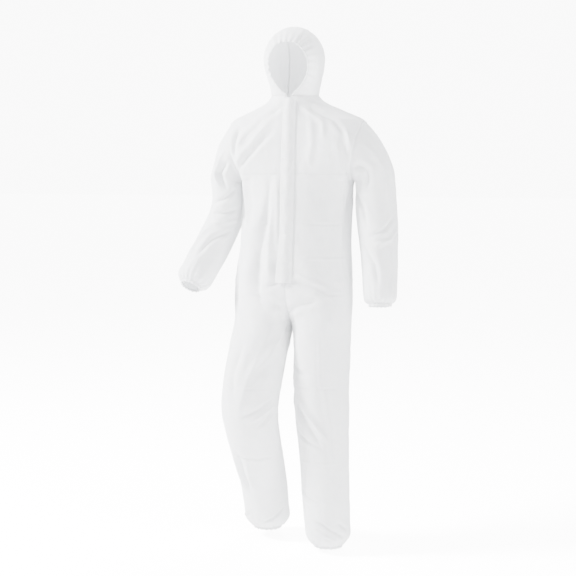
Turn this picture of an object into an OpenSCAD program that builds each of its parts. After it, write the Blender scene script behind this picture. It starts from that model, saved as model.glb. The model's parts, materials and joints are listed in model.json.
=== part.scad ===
// Chemical protective suit: a hooded one-piece coverall of thin nonwoven fabric, in the
// shape it takes on a wearer who stands with the right knee bent and both arms down.
//
// The front faces -Y, the wearer's left is +X and up is +Z. Lengths are in millimetres.
// Heights in this file are counted from the wearer's floor. in_frame() lowers the whole
// suit, so that the origin is the centre of the neck seam on the body's midline.

/* [Fabric] */
// Thickness of the fabric shells
fabric = 1.6; // [1.2:0.1:2]
// Gap left along a sewn seam between two panels of one body
seam_gap = 0.6; // [0.4:0.1:1]
// Gap between pieces that move against each other
moving_gap = 0.8; // [0.5:0.1:1.2]

/* [Body] */
// Height of the neck seam
neck_h = 1560; // [1556:1:1564]
// Height of the seam across the chest
chest_seam_h = 1300; // [1290:1:1310]
// Height of the crotch
crotch_h = 805; // [803:1:807]
// Radius of each ankle opening
ankle_r = 50; // [46:1:54]

/* [Armholes and sleeves] */
// Radius of the armhole seam
armhole_r = 100; // [98:0.5:101]
// Distance of the armhole centre from the midline
armhole_x = 213.5; // [212:0.5:215]
// Height of the armhole centre
armhole_h = 1378; // [1376:1:1380]
// Lean of the armhole plane, its top outwards
armhole_lean = 10.5; // [9:0.5:12]
// Radius of each wrist opening
wrist_r = 36; // [33:1:40]

/* [Hood] */
// Half width of the hood at the temples
hood_half_w = 103; // [100:1:108]
// Half depth of the hood at the temples
hood_half_d = 108; // [104:1:112]
// Height of the hood's temples, where its crown starts
temple_h = 1680; // [1676:1:1684]
// Height of the hood's crown above the temples
crown_rise = 110; // [106:1:114]
// Half width of the centre panel
centre_half_w = 45; // [42:1:48]
// Half width of the face opening
face_half_w = 62; // [58:1:66]
// Height of the top of the face opening
face_top_h = 1728; // [1724:1:1732]

/* [Zip and storm flap] */
// Height of the top end of the zip
zip_top_h = 1552; // [1548:1:1554]
// Height of the bottom end of the zip
zip_bottom_h = 950; // [940:1:960]
// How far the front leans forward, per millimetre of height
front_lean = 0.086; // [0.08:0.002:0.09]
// Half width of the opening between the front edges of the body
zip_half_gap = 6; // [5.6:0.2:7]
// Width of the storm flap below the chin
flap_w = 46; // [42:1:50]
// Height of the storm flap's arch over the zip
flap_arch = 8; // [7.6:0.2:9]
// Thickness of the storm flap, two plies
flap_t = 1.4; // [1.2:0.1:1.8]

/* [Hidden] */

LEFT = 0;
RIGHT = 1;

// Cross-sections of half the suit, from the ankle up: [height, centre x, y of the widest
// point, half width, y of the front, y of the back]. Above the crotch the half section is
// an ellipse cut off at the midline; below it the section is the whole of one leg.
leg_rows = [
    [
        [24, 125, -47, ankle_r, -97, 3], [38, 125, -47, 62, -110, 16],
        [62, 125, -47, 76, -124, 30], [110, 124, -47, 80, -128, 34],
        [200, 120, -47, 82, -130, 36], [300, 115, -47, 85, -133, 39],
        [400, 110, -46, 88, -135, 43], [500, 104, -44, 92, -138, 50],
        [600, 99, -40, 95, -140, 58], [700, 99, -34, 97, -142, 74],
        [770, 99.5, -30, 98, -146, 92]
    ],
    [
        [42, 123, 49, ankle_r, -1, 99], [56, 123, 48, 62, -15, 111],
        [80, 123, 45, 78, -34, 124], [130, 123, 36, 82, -47, 119],
        [200, 123, 12, 84, -73, 97], [300, 126, -40, 88, -127, 47],
        [400, 132, -92, 93, -183, -1], [500, 136, -119, 97, -213, -24],
        [600, 127, -112, 101, -213, -12], [700, 113, -84, 105, -192, 26],
        [770, 107, -56, 104.5, -170, 70]
    ]
];
crotch_rows = [
    [crotch_h, 101, -38, 101, -153, 98], [820, 96, -35, 105.5, -152, 103],
    [840, 85, -33, 116.5, -151, 109], [870, 60, -31, 141, -151, 117],
    [905, 20, -29, 180, -151.5, 123]
];
// How far the side of the trunk stands out beyond its section, on the loose right side
loose_rows = [[770, 0], [crotch_h, 9], [930, 12], [1120, 10], [1280, 0]];
trunk_rows = [
    [930, 0, -28, 198, -149.7, 126], [960, 0, -24, 195, -147.2, 127],
    [1040, 0, -12, 187, -140.3, 120], [1120, 0, 0, 183, -133.4, 112],
    [1200, 0, 12, 187, -126.5, 122], [1280, 0, 20, 195.3, -119.7, 134],
    [1330, 0, 20, 205, -115.4, 136], [1430, 0, 20, 223, -106.8, 128],
    [1476, 0, 20, 231.7, -102.8, 112], [1500, 0, 12, 186, -100.8, 96],
    [1520, 0, 0, 138, -99, 78], [1540, 0, -12, 99, -97.3, 60],
    [neck_h, 0, -24, 80, -95.6, 48]
];
body_rows = [for (side = [LEFT, RIGHT]) concat(leg_rows[side], crotch_rows, trunk_rows)];

// Centre lines of the sleeves below the shoulder: [x, y, height, half width, half depth]
arm_rows = [
    [
        [273, 18, 1200, 68, 78], [281, 8, 1120, 68, 74], [289, -8, 1040, 63, 68],
        [296, -26, 960, 59, 62], [301, -40, 905, 57, 58], [303, -46, 880, 50, 51],
        [304, -49, 866, wrist_r, wrist_r]
    ],
    [
        [260, 28, 1200, 57, 79], [277, 20, 1130, 61, 74], [302, -12, 1060, 63, 70],
        [322, -55, 1000, 63, 66], [337, -95, 952, 61, 61], [342, -111, 932, 51, 51],
        [345, -120, 920, wrist_r, wrist_r]
    ]
];
// Half width and half depth of each sleeve's rings, from the armhole round the shoulder
shoulder_rings = [
    [[armhole_r, armhole_r], [86, 96], [75, 91], [69, 86], [67, 82], [66, 79]],
    [[armhole_r, armhole_r], [80, 95], [66, 90], [58, 86], [55, 82], [55, 80]]
];
shoulder_steps = 5;
shoulder_turn = 84;

// Hood sections below the temples: [height, half width, y of the front, y of the back]
hood_rows = [
    [neck_h, 80, -95.6, 48], [1590, 86, -110, 57], [1620, 93, -124, 65],
    [1650, 100, -137, 71], [temple_h, hood_half_w, -143, 73]
];
hood_y = -35;
chin_h = neck_h + 4;
face_mid_h = 1662;

// Heights of the panel rows
leg_heights = [
    [24, 30, 38, 50, 62, 85, 110, 155, 200, 250, 300, 350, 400, 450, 500, 550, 600, 650],
    [42, 48, 56, 68, 80, 100, 130, 165, 200, 250, 300, 350, 400, 450, 500, 550, 600, 650]
];
hip_heights = [700, 718, 735, 770, 790, crotch_h, 812, 820, 830, 840, 855, 865, 885, 905, 930];
side_heights = [960, 1000, 1040, 1080, 1120, 1160, 1200, 1240, 1279.7];
armhole_heights = [
    chest_seam_h, 1330, 1360, 1390, 1420, 1445, 1460, 1470, 1476.3
];
shoulder_heights = [1482, 1490, 1500, 1510, 1520, 1530, 1540, 1550, neck_h];
shoulder_tip_h = armhole_h + armhole_r * cos(armhole_lean);

// Corners of the crotch gusset, as a share of the way round half the suit at each height
gusset_top_h = 865;
gusset_corners = [[700, 0.003], [735, 0.09], [crotch_h, 0.055], [gusset_top_h, 0.003]];

// Rows of the hood's side panels
hood_low_h = neck_h + moving_gap;
hood_side_heights = [
    hood_low_h, 1570, 1580, 1592, 1606, 1622, 1640, 1658, temple_h, 1698, 1712, 1726, 1740,
    1752, 1762, 1770, 1775, 1778.4
];

// Folded hems at the wrists and ankles, and the narrower one round the face
hem_h = 9;
face_hem_w = 7;
hem_t = 3.2;
hem_wall = 0.7;
slack = 0.25;

// Zip, in its own frame: depths are counted from the front edges of the body, inwards
zip_len = (zip_top_h - zip_bottom_h) / cos(atan(front_lean));
coil_half = 3;
coil_gap = 0.7;
tape_w = 14;
tape_t = 0.8;
tape_depth = fabric + 1.4;
slider_top = -4.2;
slider_len = 12;
slider_half = 4.6;
plate_t = 1.1;
bar_r = 0.8;
bar_out = 3.3;
puller_len = 24;
puller_t = 1;
puller_out = 1.6;
puller_pivot = slider_top - 7;

flap_hinge_x = 24;
flap_bottom = -zip_len - 12;
flap_rows = [for (k = [0 : 16]) flap_bottom * k / 16];

panel_steps = 8;
sleeve_sides = 24;
hem_sides = 32;

white = [0.95, 0.95, 0.96];
soft_white = [0.9, 0.91, 0.92];
elastic_grey = [0.82, 0.83, 0.85];

// ---- Curves and surfaces ----

// Rows of a table are [place, value, ...]; smooth() follows a curve through them
function row_before(t, x, i = 0) =
    (i >= len(t) - 2 || x < t[i + 1][0]) ? i : row_before(t, x, i + 1);
function row_slope(t, i) =
    let (a = t[max(i - 1, 0)], b = t[min(i + 1, len(t) - 1)]) (b - a) / (b[0] - a[0]);
function smooth(t, x) =
    let (
        i = row_before(t, x),
        w = t[i + 1][0] - t[i][0],
        s = (x - t[i][0]) / w
    )
    t[i] * (2 * pow(s, 3) - 3 * pow(s, 2) + 1)
    + row_slope(t, i) * w * (pow(s, 3) - 2 * pow(s, 2) + s)
    + t[i + 1] * (3 * pow(s, 2) - 2 * pow(s, 3))
    + row_slope(t, i + 1) * w * (pow(s, 3) - pow(s, 2));

function unit(v) = v / norm(v);
function flat(rows) = [for (r = rows) each r];
function clamp(x, low, high) = min(max(x, low), high);

// Y of the straight front edge that holds the zip
function front_y(h) = -95.6 - front_lean * (neck_h - h);

// Half width of the armhole at a height, 0 above and below it
function armhole_half(h) =
    let (up = (h - armhole_h) / cos(armhole_lean))
    abs(up) < armhole_r ? sqrt(pow(armhole_r, 2) - pow(up, 2)) : 0;
function armhole_plane_x(h) = armhole_x + (h - armhole_h) * tan(armhole_lean);

// Half section at a height: [centre x, y of widest point, half width, front, back depth]
function half_section(side, h) =
    let (
        r = smooth(body_rows[side], h),
        in_armhole = h > 1279 && h < shoulder_tip_h + 0.5,
        a = in_armhole ? armhole_plane_x(h) : r[3],
        cx = h < crotch_h ? max(r[1], a + 1) : h > 930 ? 0 : clamp(r[1], 0, a),
        cy = in_armhole ? 20 : r[2],
        front = h >= 930 ? front_y(h) : r[4]
    )
    [cx, cy, a, cy - front, r[5] - cy];

// Point of the body: s runs from the front midline (0) over the side (0.5) to the back
// midline (1), or all the way round a leg from its inseam. The inner face is inset by t.
function body_point(side, h, s, t) =
    let (
        c = half_section(side, h),
        a = c[2] - t,
        sweep = h < crotch_h ? 180 : acos(-min(1, c[0] / a)),
        turn = sweep * (2 * s - 1),
        gap = armhole_half(h),
        depth = (turn < 0 ? c[3] : c[4]) - t,
        loose = side == RIGHT ? lookup(h, loose_rows) : 0,
        lift = h >= crotch_h && h < 900 ? max(0, -cos(turn))
             : h > 1440 ? -min(1, (h - 1440) / 30) : 0
    )
    [
        c[0] + (a + (cos(turn) > 0 ? loose : 0)) * cos(turn),
        c[1] + sign(turn) * gap + (depth - gap) * sin(turn),
        h + t * lift
    ];

// Share of the way round that an arc of this length takes from the front midline
function arc_share(side, h, arc) =
    let (c = half_section(side, h))
    h >= 930 ? asin(min(1, arc / c[2])) / 180 : arc / (PI * (c[2] + c[3]) * 0.9);

function gusset_share(h) = h > gusset_top_h || h < 700 ? 0 : lookup(h, gusset_corners);

// Point of the hood on the wearer's left: turn is -90 at the front and 90 at the back
function hood_point(h, x, back, t) =
    let (
        q = sqrt(max(0, 1 - pow((h - temple_h) / crown_rise, 2))),
        r = smooth(hood_rows, min(h, temple_h)),
        a = (h > temple_h ? hood_half_w * q : r[1]) - t,
        mid = h > temple_h ? hood_y : (r[2] + r[3]) / 2,
        b = (h > temple_h ? hood_half_d * q : (r[3] - r[2]) / 2) - t
    )
    [min(x, a), mid + (back ? 1 : -1) * b * sqrt(max(0, 1 - pow(min(x, a) / a, 2))), h];

// Half width of the face opening at a height
function face_half(h) =
    h >= face_top_h ? 0
    : h > face_mid_h ? face_half_w * sqrt(1 - pow((h - face_mid_h) / (face_top_h - face_mid_h), 2))
    : 3 + (face_half_w - 3) * sin(90 * pow(clamp((h - chin_h) / (face_mid_h - chin_h), 0, 1), 0.8));

// ---- Solids from grids of points ----

// Closed shell between two grids of the same size, outer face first
module shell(outer, inner) {
    rows = len(outer);
    cols = len(outer[0]);
    n = rows * cols;
    function at(i, j) = i * cols + j;
    faces = concat(
        flat([for (i = [0 : rows - 2], j = [0 : cols - 2]) [
            [at(i, j), at(i + 1, j + 1), at(i, j + 1)],
            [at(i, j), at(i + 1, j), at(i + 1, j + 1)],
            [n + at(i, j), n + at(i, j + 1), n + at(i + 1, j + 1)],
            [n + at(i, j), n + at(i + 1, j + 1), n + at(i + 1, j)]
        ]]),
        flat([for (i = [0 : rows - 2]) [
            [at(i, 0), n + at(i, 0), n + at(i + 1, 0)],
            [at(i, 0), n + at(i + 1, 0), at(i + 1, 0)],
            [at(i, cols - 1), at(i + 1, cols - 1), n + at(i + 1, cols - 1)],
            [at(i, cols - 1), n + at(i + 1, cols - 1), n + at(i, cols - 1)]
        ]]),
        flat([for (j = [0 : cols - 2]) [
            [at(0, j), at(0, j + 1), n + at(0, j + 1)],
            [at(0, j), n + at(0, j + 1), n + at(0, j)],
            [at(rows - 1, j), n + at(rows - 1, j), n + at(rows - 1, j + 1)],
            [at(rows - 1, j), n + at(rows - 1, j + 1), at(rows - 1, j + 1)]
        ]])
    );
    polyhedron(concat(flat(outer), flat(inner)), faces);
}

// Closed tube wall through rings of points, open at both ends
module ring_shell(outer, inner) {
    rows = len(outer);
    cols = len(outer[0]);
    n = rows * cols;
    function at(i, j) = i * cols + (j + cols) % cols;
    faces = concat(
        flat([for (i = [0 : rows - 2], j = [0 : cols - 1]) [
            [at(i, j), at(i + 1, j + 1), at(i, j + 1)],
            [at(i, j), at(i + 1, j), at(i + 1, j + 1)],
            [n + at(i, j), n + at(i, j + 1), n + at(i + 1, j + 1)],
            [n + at(i, j), n + at(i + 1, j + 1), n + at(i + 1, j)]
        ]]),
        flat([for (j = [0 : cols - 1]) [
            [at(0, j), at(0, j + 1), n + at(0, j + 1)],
            [at(0, j), n + at(0, j + 1), n + at(0, j)],
            [at(rows - 1, j), n + at(rows - 1, j), n + at(rows - 1, j + 1)],
            [at(rows - 1, j), n + at(rows - 1, j + 1), at(rows - 1, j + 1)]
        ]])
    );
    polyhedron(concat(flat(outer), flat(inner)), faces);
}

// Closed loop of a section swept through rings of points
module loop_solid(rings) {
    rows = len(rings);
    cols = len(rings[0]);
    function at(i, j) = (i % rows) * cols + j % cols;
    faces = flat([for (i = [0 : rows - 1], j = [0 : cols - 1]) [
        [at(i, j), at(i + 1, j + 1), at(i, j + 1)],
        [at(i, j), at(i + 1, j), at(i + 1, j + 1)]
    ]]);
    polyhedron(flat(rings), faces);
}

module in_frame() {
    translate([0, 0, -neck_h]) children();
}

module on_side(side) {
    mirror([side == RIGHT ? 1 : 0, 0, 0]) children();
}

// ---- Body panels ----

// Panel of the body between two shares of the way round, which may change with height
module body_patch(side, heights, share_from, share_to, steps = panel_steps) {
    function grid(t) = [for (h = heights) let (a = share_from(h), b = share_to(h))
        [for (j = [0 : steps]) body_point(side, h, a + (b - a) * j / steps, t)]];
    in_frame() on_side(side) shell(grid(0), grid(fabric));
}

function seam_share(side, h) = arc_share(side, h, seam_gap / 2);

// Front edge of the front panels: beside the zip, along the centre seam or the gusset
function front_edge(side, h) =
    h >= zip_bottom_h - 12 ? arc_share(side, h, zip_half_gap)
    : gusset_share(h) + seam_share(side, h);

function body_heights(side, low, high) = [
    for (h = concat(
        leg_heights[side], hip_heights, side_heights, armhole_heights, shoulder_heights
    )) if (h >= low && h <= high) h
];

function inset_ends(heights, bottom, top) = [
    for (i = [0 : len(heights) - 1])
        heights[i] + (i == 0 ? bottom : i == len(heights) - 1 ? -top : 0)
];

module front_yoke(side) {
    heights = inset_ends(body_heights(side, chest_seam_h, neck_h), seam_gap / 2, seam_gap);
    color(white)
    body_patch(side, heights,
        function(h) front_edge(side, h),
        function(h) 0.5 - seam_share(side, h));
}

module front_panel(side) {
    heights = inset_ends(body_heights(side, 0, chest_seam_h), 0, seam_gap / 2);
    color(white)
    body_patch(side, heights,
        function(h) front_edge(side, h),
        function(h) 0.5 - seam_share(side, h));
}

module back_panel(side) {
    heights = inset_ends(body_heights(side, 0, neck_h), 0, seam_gap);
    color(white)
    body_patch(side, heights,
        function(h) 0.5 + seam_share(side, h),
        function(h) 1 - gusset_share(h) - seam_share(side, h));
}

// Diamond between the legs, one lobe for each front and back panel that it meets
module crotch_gusset() {
    heights = body_heights(LEFT, 700, gusset_top_h);
    color(white)
    for (side = [LEFT, RIGHT]) {
        body_patch(side, heights, function(h) 0, function(h) gusset_share(h), 2);
        body_patch(side, heights, function(h) 1 - gusset_share(h), function(h) 1, 2);
    }
}

// Flat elastic bonded to the inside of the back at the waist
module waist_elastic() {
    low = 1112;
    heights = [low, low + 6, low + 12];
    shares = [for (j = [0 : 12]) 0.62 + (1 - 0.62) * j / 12];
    function right_point(h, s, t) = let (p = body_point(RIGHT, h, s, t)) [-p[0], p[1], p[2]];
    function whole(t) = [for (h = heights) concat(
        [for (s = shares) body_point(LEFT, h, s, t)],
        [for (j = [len(shares) - 2 : -1 : 0]) right_point(h, shares[j], t)]
    )];
    gap = fabric + 1.2;
    color(elastic_grey) in_frame() shell(whole(gap), whole(gap + 1));
}

// Woven label inside the back of the neck
module neck_label() {
    heights = [1518, 1528, 1538, 1548];
    function grid(t) = [for (h = heights) [for (x = [-22 : 11 : 22])
        let (
            c = half_section(LEFT, h),
            s = 1 - asin(min(1, abs(x) / (c[2] - t))) / 180,
            p = body_point(LEFT, h, s, t)
        )
        [x, p[1], p[2]]]];
    gap = fabric + 0.6;
    color(soft_white) in_frame() shell(grid(gap), grid(gap + 0.8));
}

// ---- Sleeves ----

// Rings of a sleeve: [centre, direction down the sleeve, half width, half depth]
function sleeve_rings(side) =
    let (
        tip_dir = [sin(armhole_lean), cos(armhole_lean)],
        pivot = [armhole_x, armhole_h] - (armhole_r + 10) * tip_dir,
        arm = arm_rows[side],
        count = len(arm)
    )
    concat(
        [for (k = [0 : shoulder_steps])
            let (
                s = k / shoulder_steps,
                angle = armhole_lean + (shoulder_turn - armhole_lean) * s,
                half = shoulder_rings[side][k][0],
                deep = shoulder_rings[side][k][1],
                out = [sin(angle), cos(angle)],
                c = pivot + (half + 10) * out,
                step = k == 0 ? moving_gap : 0
            )
            [
                [c[0] + step * cos(angle), 20, c[1] - step * sin(angle)],
                [cos(angle), 0, -sin(angle)], half, deep
            ]
        ],
        [for (i = [0 : count - 1])
            let (
                here = [arm[i][0], arm[i][1], arm[i][2]],
                before = i == 0 ? [here[0], here[1], here[2] + 60]
                    : [arm[i - 1][0], arm[i - 1][1], arm[i - 1][2]],
                after = i == count - 1 ? here
                    : [arm[i + 1][0], arm[i + 1][1], arm[i + 1][2]]
            )
            [here, unit(after - before), arm[i][3], arm[i][4]]
        ]
    );

function sleeve_ring_points(ring, t) =
    let (
        down = ring[1],
        deep = unit([0, 1, 0] - down * down[1]),
        wide = cross(down, deep)
    )
    [for (j = [0 : sleeve_sides - 1]) let (turn = -360 * j / sleeve_sides)
        ring[0] + (ring[2] - t) * cos(turn) * wide + (ring[3] - t) * sin(turn) * deep];

module sleeve(side) {
    rings = sleeve_rings(side);
    color(white) in_frame() on_side(side)
    ring_shell(
        [for (r = rings) sleeve_ring_points(r, 0)],
        [for (r = rings) sleeve_ring_points(r, fabric)]
    );
}

// ---- Gathered edges: a folded hem with a thin elastic inside ----

// Rectangular section swept round an opening. Each point of the path is
// [point, outward direction, direction along the fabric]; low and high bound the section
// along the fabric, and deep and proud bound it across the fabric.
module band(path, low, high, deep, proud) {
    loop_solid([for (p = path) [
        p[0] + low * p[2] + deep * p[1], p[0] + high * p[2] + deep * p[1],
        p[0] + high * p[2] + proud * p[1], p[0] + low * p[2] + proud * p[1]
    ]]);
}

module hem(path) {
    difference() {
        band(path, 0, hem_h, -hem_t, 0);
        band(path, hem_wall, hem_h - hem_wall, hem_wall - hem_t, -hem_wall);
    }
}

module elastic(path) {
    band(
        path, hem_wall + slack, hem_h - hem_wall - slack,
        hem_wall + slack - hem_t, -hem_wall - slack
    );
}

// Path round an ankle, going down from the end of the leg
function ankle_path(side) =
    let (r = leg_rows[side][0])
    [for (j = [0 : hem_sides - 1]) let (turn = -360 * j / hem_sides)
        [
            [r[1] + ankle_r * cos(turn), r[2] + ankle_r * sin(turn), r[0] - seam_gap / 2],
            [cos(turn), sin(turn), 0], [0, 0, -1]
        ]];

// Path round a wrist, going on down from the end of the sleeve
function wrist_path(side) =
    let (
        rings = sleeve_rings(side),
        end = rings[len(rings) - 1],
        down = end[1],
        deep = unit([0, 1, 0] - down * down[1]),
        wide = cross(down, deep),
        start = end[0] + down * seam_gap / 2
    )
    [for (j = [0 : hem_sides - 1])
        let (turn = -360 * j / hem_sides, out = cos(turn) * wide + sin(turn) * deep)
        [start + wrist_r * out, out, down]];

module ankle_hem(side) { color(white) in_frame() on_side(side) hem(ankle_path(side)); }
module ankle_elastic(side) {
    color(elastic_grey) in_frame() on_side(side) elastic(ankle_path(side));
}
module wrist_hem(side) { color(white) in_frame() on_side(side) hem(wrist_path(side)); }
module wrist_elastic(side) {
    color(elastic_grey) in_frame() on_side(side) elastic(wrist_path(side));
}

// ---- Hood ----

// X of the front edge of a side panel: the face hem below, the centre panel's seam above
function hood_front_x(h) =
    let (hem_x = face_half(h) + face_hem_w)
    h > face_mid_h ? max(hem_x, centre_half_w + seam_gap / 2) : hem_x;

// Side panel: from the face or the front seam round to the centre panel's back seam
module hood_side_panel(side) {
    function side_point(h, s, t) =
        let (
            q = sqrt(max(0, 1 - pow((h - temple_h) / crown_rise, 2))),
            a = (h > temple_h ? hood_half_w * q : smooth(hood_rows, h)[1]) - t,
            turn_front = -acos(min(1, hood_front_x(h) / a)),
            turn_back = acos(min(1, (centre_half_w + seam_gap / 2) / a)),
            turn = turn_front + (turn_back - turn_front) * s,
            x = a * cos(turn)
        )
        hood_point(h, x, turn > 0, t);
    function grid(t) = [for (h = hood_side_heights)
        [for (j = [0 : 10]) side_point(h, j / 10, t)]];
    color(white) in_frame() on_side(side) shell(grid(0), grid(fabric));
}

// Centre panel: from the top of the face opening over the crown and down to the neck
module hood_centre_panel() {
    crown_steps = 14;
    columns = [-1 : 0.25 : 1];
    function crown_point(x, s, t) =
        let (
            k = sqrt(1 - pow(x / (hood_half_w - t), 2)),
            face_h = face_mid_h + (face_top_h + face_hem_w - face_mid_h)
                * sqrt(1 - pow(x / (face_half_w + face_hem_w), 2)),
            first = asin((face_h - temple_h) / ((crown_rise - t) * k)),
            turn = first + (180 - first) * s
        )
        [x, hood_y - (hood_half_d - t) * k * cos(turn), temple_h + (crown_rise - t) * k * sin(turn)];
    function grid(t) = concat(
        [for (i = [0 : crown_steps - 1]) [for (c = columns)
            crown_point(c * (centre_half_w - seam_gap / 2), i / crown_steps, t)]],
        [for (h = [temple_h, 1650, 1620, 1592, 1570, hood_low_h]) [for (c = columns)
            let (
                x = c * (centre_half_w - seam_gap / 2),
                p = hood_point(h, abs(x), true, t)
            )
            [x, p[1], h]]]
    );
    color(white) in_frame() shell(grid(0), grid(fabric));
}

// Path round the face opening: the left side from chin to top, then down the right
function face_side_path() =
    let (
        low = [for (i = [0 : 9]) let (h = chin_h + (face_mid_h - chin_h) * i / 10)
            [face_half(h) + face_hem_w, h]],
        high = [for (i = [0 : 6]) let (turn = 90 * i / 7)
            [(face_half_w + face_hem_w) * cos(turn),
                face_mid_h + (face_top_h + face_hem_w - face_mid_h) * sin(turn)]]
    )
    concat(low, high);

function face_path() =
    let (
        half = face_side_path(),
        top = [[0, face_top_h + face_hem_w]],
        points = concat(half, top, [for (i = [len(half) - 1 : -1 : 0]) [-half[i][0], half[i][1]]]),
        count = len(points)
    )
    [for (i = [0 : count - 1])
        let (
            p = points[i],
            on = hood_point(p[1], abs(p[0]), false, 0),
            before = points[(i + count - 1) % count],
            after = points[(i + 1) % count],
            run = unit([after[0] - before[0], after[1] - before[1]]),
            mid = [p[0], on[1], p[1]],
            out = unit([mid[0], mid[1] - hood_y, 0])
        )
        [mid + 1.8 * [-run[1], 0, run[0]], out, [-run[1], 0, run[0]]]];

module face_hem() {
    path = face_path();
    color(white) in_frame() difference() {
        band(path, 0, face_hem_w - 2.6, -hem_t, 0);
        band(path, hem_wall, face_hem_w - 2.6 - hem_wall, hem_wall - hem_t, -hem_wall);
    }
}

module face_elastic() {
    color(elastic_grey) in_frame()
    band(
        face_path(), hem_wall + slack, face_hem_w - 2.6 - hem_wall - slack,
        hem_wall + slack - hem_t, -hem_wall - slack
    );
}

// ---- Zip ----

// Zip frame: X across, Z up along the zip and -Y out of the front, from the zip's top end
module on_zip() {
    in_frame() translate([0, front_y(zip_top_h), zip_top_h])
    rotate([-atan(front_lean), 0, 0]) children();
}

// Box in the zip frame: x from and to, depth behind the front from and to, along from and to
module zip_box(x0, x1, d0, d1, z0, z1) {
    translate([x0, d0, z0]) cube([x1 - x0, d1 - d0, z1 - z0]);
}

module zip_tape(side) {
    color(soft_white) on_zip() on_side(side)
    zip_box(coil_gap + 0.4, tape_w, tape_depth, tape_depth + tape_t, -zip_len, 0);
}

module zip_coil(side) {
    color(white) on_zip() on_side(side)
    zip_box(coil_gap, coil_half, 0.6, tape_depth, -zip_len + 6, -4);
}

module zip_top_stops() {
    color(soft_white) on_zip() for (side = [LEFT, RIGHT]) on_side(side)
    zip_box(coil_gap, coil_half, 0.4, tape_depth, -3.8, -0.6);
}

module zip_bottom_stop() {
    color(soft_white) on_zip()
    zip_box(-coil_half, coil_half, 0.4, tape_depth, -zip_len + 1, -zip_len + 5.8);
}

// Strip of fabric behind the zip that keeps it off the wearer
module zip_guard() {
    color(white) on_zip() zip_box(-22, 22, tape_depth + 5, tape_depth + 6, -zip_len - 6, 0);
}

module zip_slider() {
    low = slider_top - slider_len;
    back = tape_depth + tape_t + 0.4;
    color(white) on_zip() {
        zip_box(-slider_half, slider_half, -0.9, 0.2, low, slider_top);
        zip_box(-slider_half, slider_half, back, back + plate_t, low, slider_top);
        zip_box(-0.4, 0.4, 0.2, back, slider_top - 4, slider_top);
        for (x = [-1, 1])
            zip_box(x * 4 - 0.5, x * 4 + 0.5, 0.2, 1.4, low, slider_top);
        for (z = [low + 3, slider_top - 2.6])
            zip_box(-0.9, 0.9, -bar_out, -0.9, z - 0.8, z + 0.8);
        translate([0, -bar_out, low + 3]) cylinder(r = bar_r, h = slider_len - 5.6, $fn = 24);
    }
}

// Flat tab with a hole at its foot, and a crossbar that runs under the slider's bar
module zip_puller() {
    color(soft_white) on_zip() translate([0, -puller_out, puller_pivot]) difference() {
        union() {
            for (x = [-1, 1])
                zip_box(x * 2.6 - 0.7, x * 2.6 + 0.7, -puller_t / 2, puller_t / 2, -puller_len / 2, 0.5);
            zip_box(-3.3, 3.3, -puller_t / 2, puller_t / 2, -0.5, 0.5);
            zip_box(-3.3, 3.3, -puller_t / 2, puller_t / 2, -puller_len, -puller_len * 0.42);
        }
        translate([0, 1, -puller_len + 4]) rotate([90, 0, 0]) cylinder(r = 1.2, h = 2, $fn = 24);
    }
}

// ---- Storm flap ----

// Distance of the flap's inner face from the front, across the flap
function flap_rise(x) = 1.2 + (flap_arch - 1.2) * pow(cos(90 * x / (flap_w / 2 + 2)), 2);
function flap_x(s) = flap_hinge_x - flap_w * s;

module storm_flap() {
    steps = 10;
    function grid(t) = [for (z = flap_rows) [for (j = [0 : steps])
        let (x = flap_x(j / steps), r = flap_rise(x))
        [x, -r - t, z]]];
    color(white) on_zip() shell(grid(flap_t), grid(0));
}

// Strip bonded to the flap's inner face, from one share of its width to another
module flap_strip(near, far, t0, t1) {
    function grid(t) = [for (z = flap_rows) if (z < -20 && z > flap_bottom + 10)
        [for (j = [0 : 3])
            let (x = near + (far - near) * j / 3, r = flap_rise(x)) [x, -r + t, z]]];
    on_zip() shell(grid(t0), grid(t1));
}
module flap_adhesive() { color([0.93, 0.92, 0.86]) flap_strip(-12, -19, 0.05, 0.4); }
module release_liner() { color([0.98, 0.98, 0.97]) flap_strip(-11.5, -19.5, 0.45, 0.7); }

// ---- The suit ----

hood_centre_panel();
hood_side_panel(LEFT);  // hood_left_panel
hood_side_panel(RIGHT);  // hood_right_panel
face_hem();
face_elastic();
front_yoke(LEFT);  // front_yoke_left
front_yoke(RIGHT);  // front_yoke_right
front_panel(LEFT);  // front_panel_left
front_panel(RIGHT);  // front_panel_right
back_panel(LEFT);  // back_panel_left
back_panel(RIGHT);  // back_panel_right
crotch_gusset();
waist_elastic();
neck_label();
sleeve(LEFT);  // sleeve_left
sleeve(RIGHT);  // sleeve_right
wrist_hem(LEFT);  // wrist_hem_left
wrist_hem(RIGHT);  // wrist_hem_right
wrist_elastic(LEFT);  // wrist_elastic_left
wrist_elastic(RIGHT);  // wrist_elastic_right
ankle_hem(LEFT);  // ankle_hem_left
ankle_hem(RIGHT);  // ankle_hem_right
ankle_elastic(LEFT);  // ankle_elastic_left
ankle_elastic(RIGHT);  // ankle_elastic_right
zip_tape(LEFT);  // zip_tape_left
zip_tape(RIGHT);  // zip_tape_right
zip_coil(LEFT);  // zip_coil_left
zip_coil(RIGHT);  // zip_coil_right
zip_top_stops();
zip_bottom_stop();
zip_guard();
zip_slider();
zip_puller();
storm_flap();
flap_adhesive();
release_liner();
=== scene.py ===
"""Chemical protective suit: the visual model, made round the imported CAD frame.

The garment is laid out as grids of cloth, one for each panel, in millimetres above the
wearer's floor, on the same cross-sections as the CAD body. A cloth simulation slackens them
over a hidden mannequin, then folds, gathers and creases are pressed in, and each grid
becomes its own piece.
"""

import json
import math

import bpy
import numpy as np
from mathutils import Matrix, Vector, kdtree, noise

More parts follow.
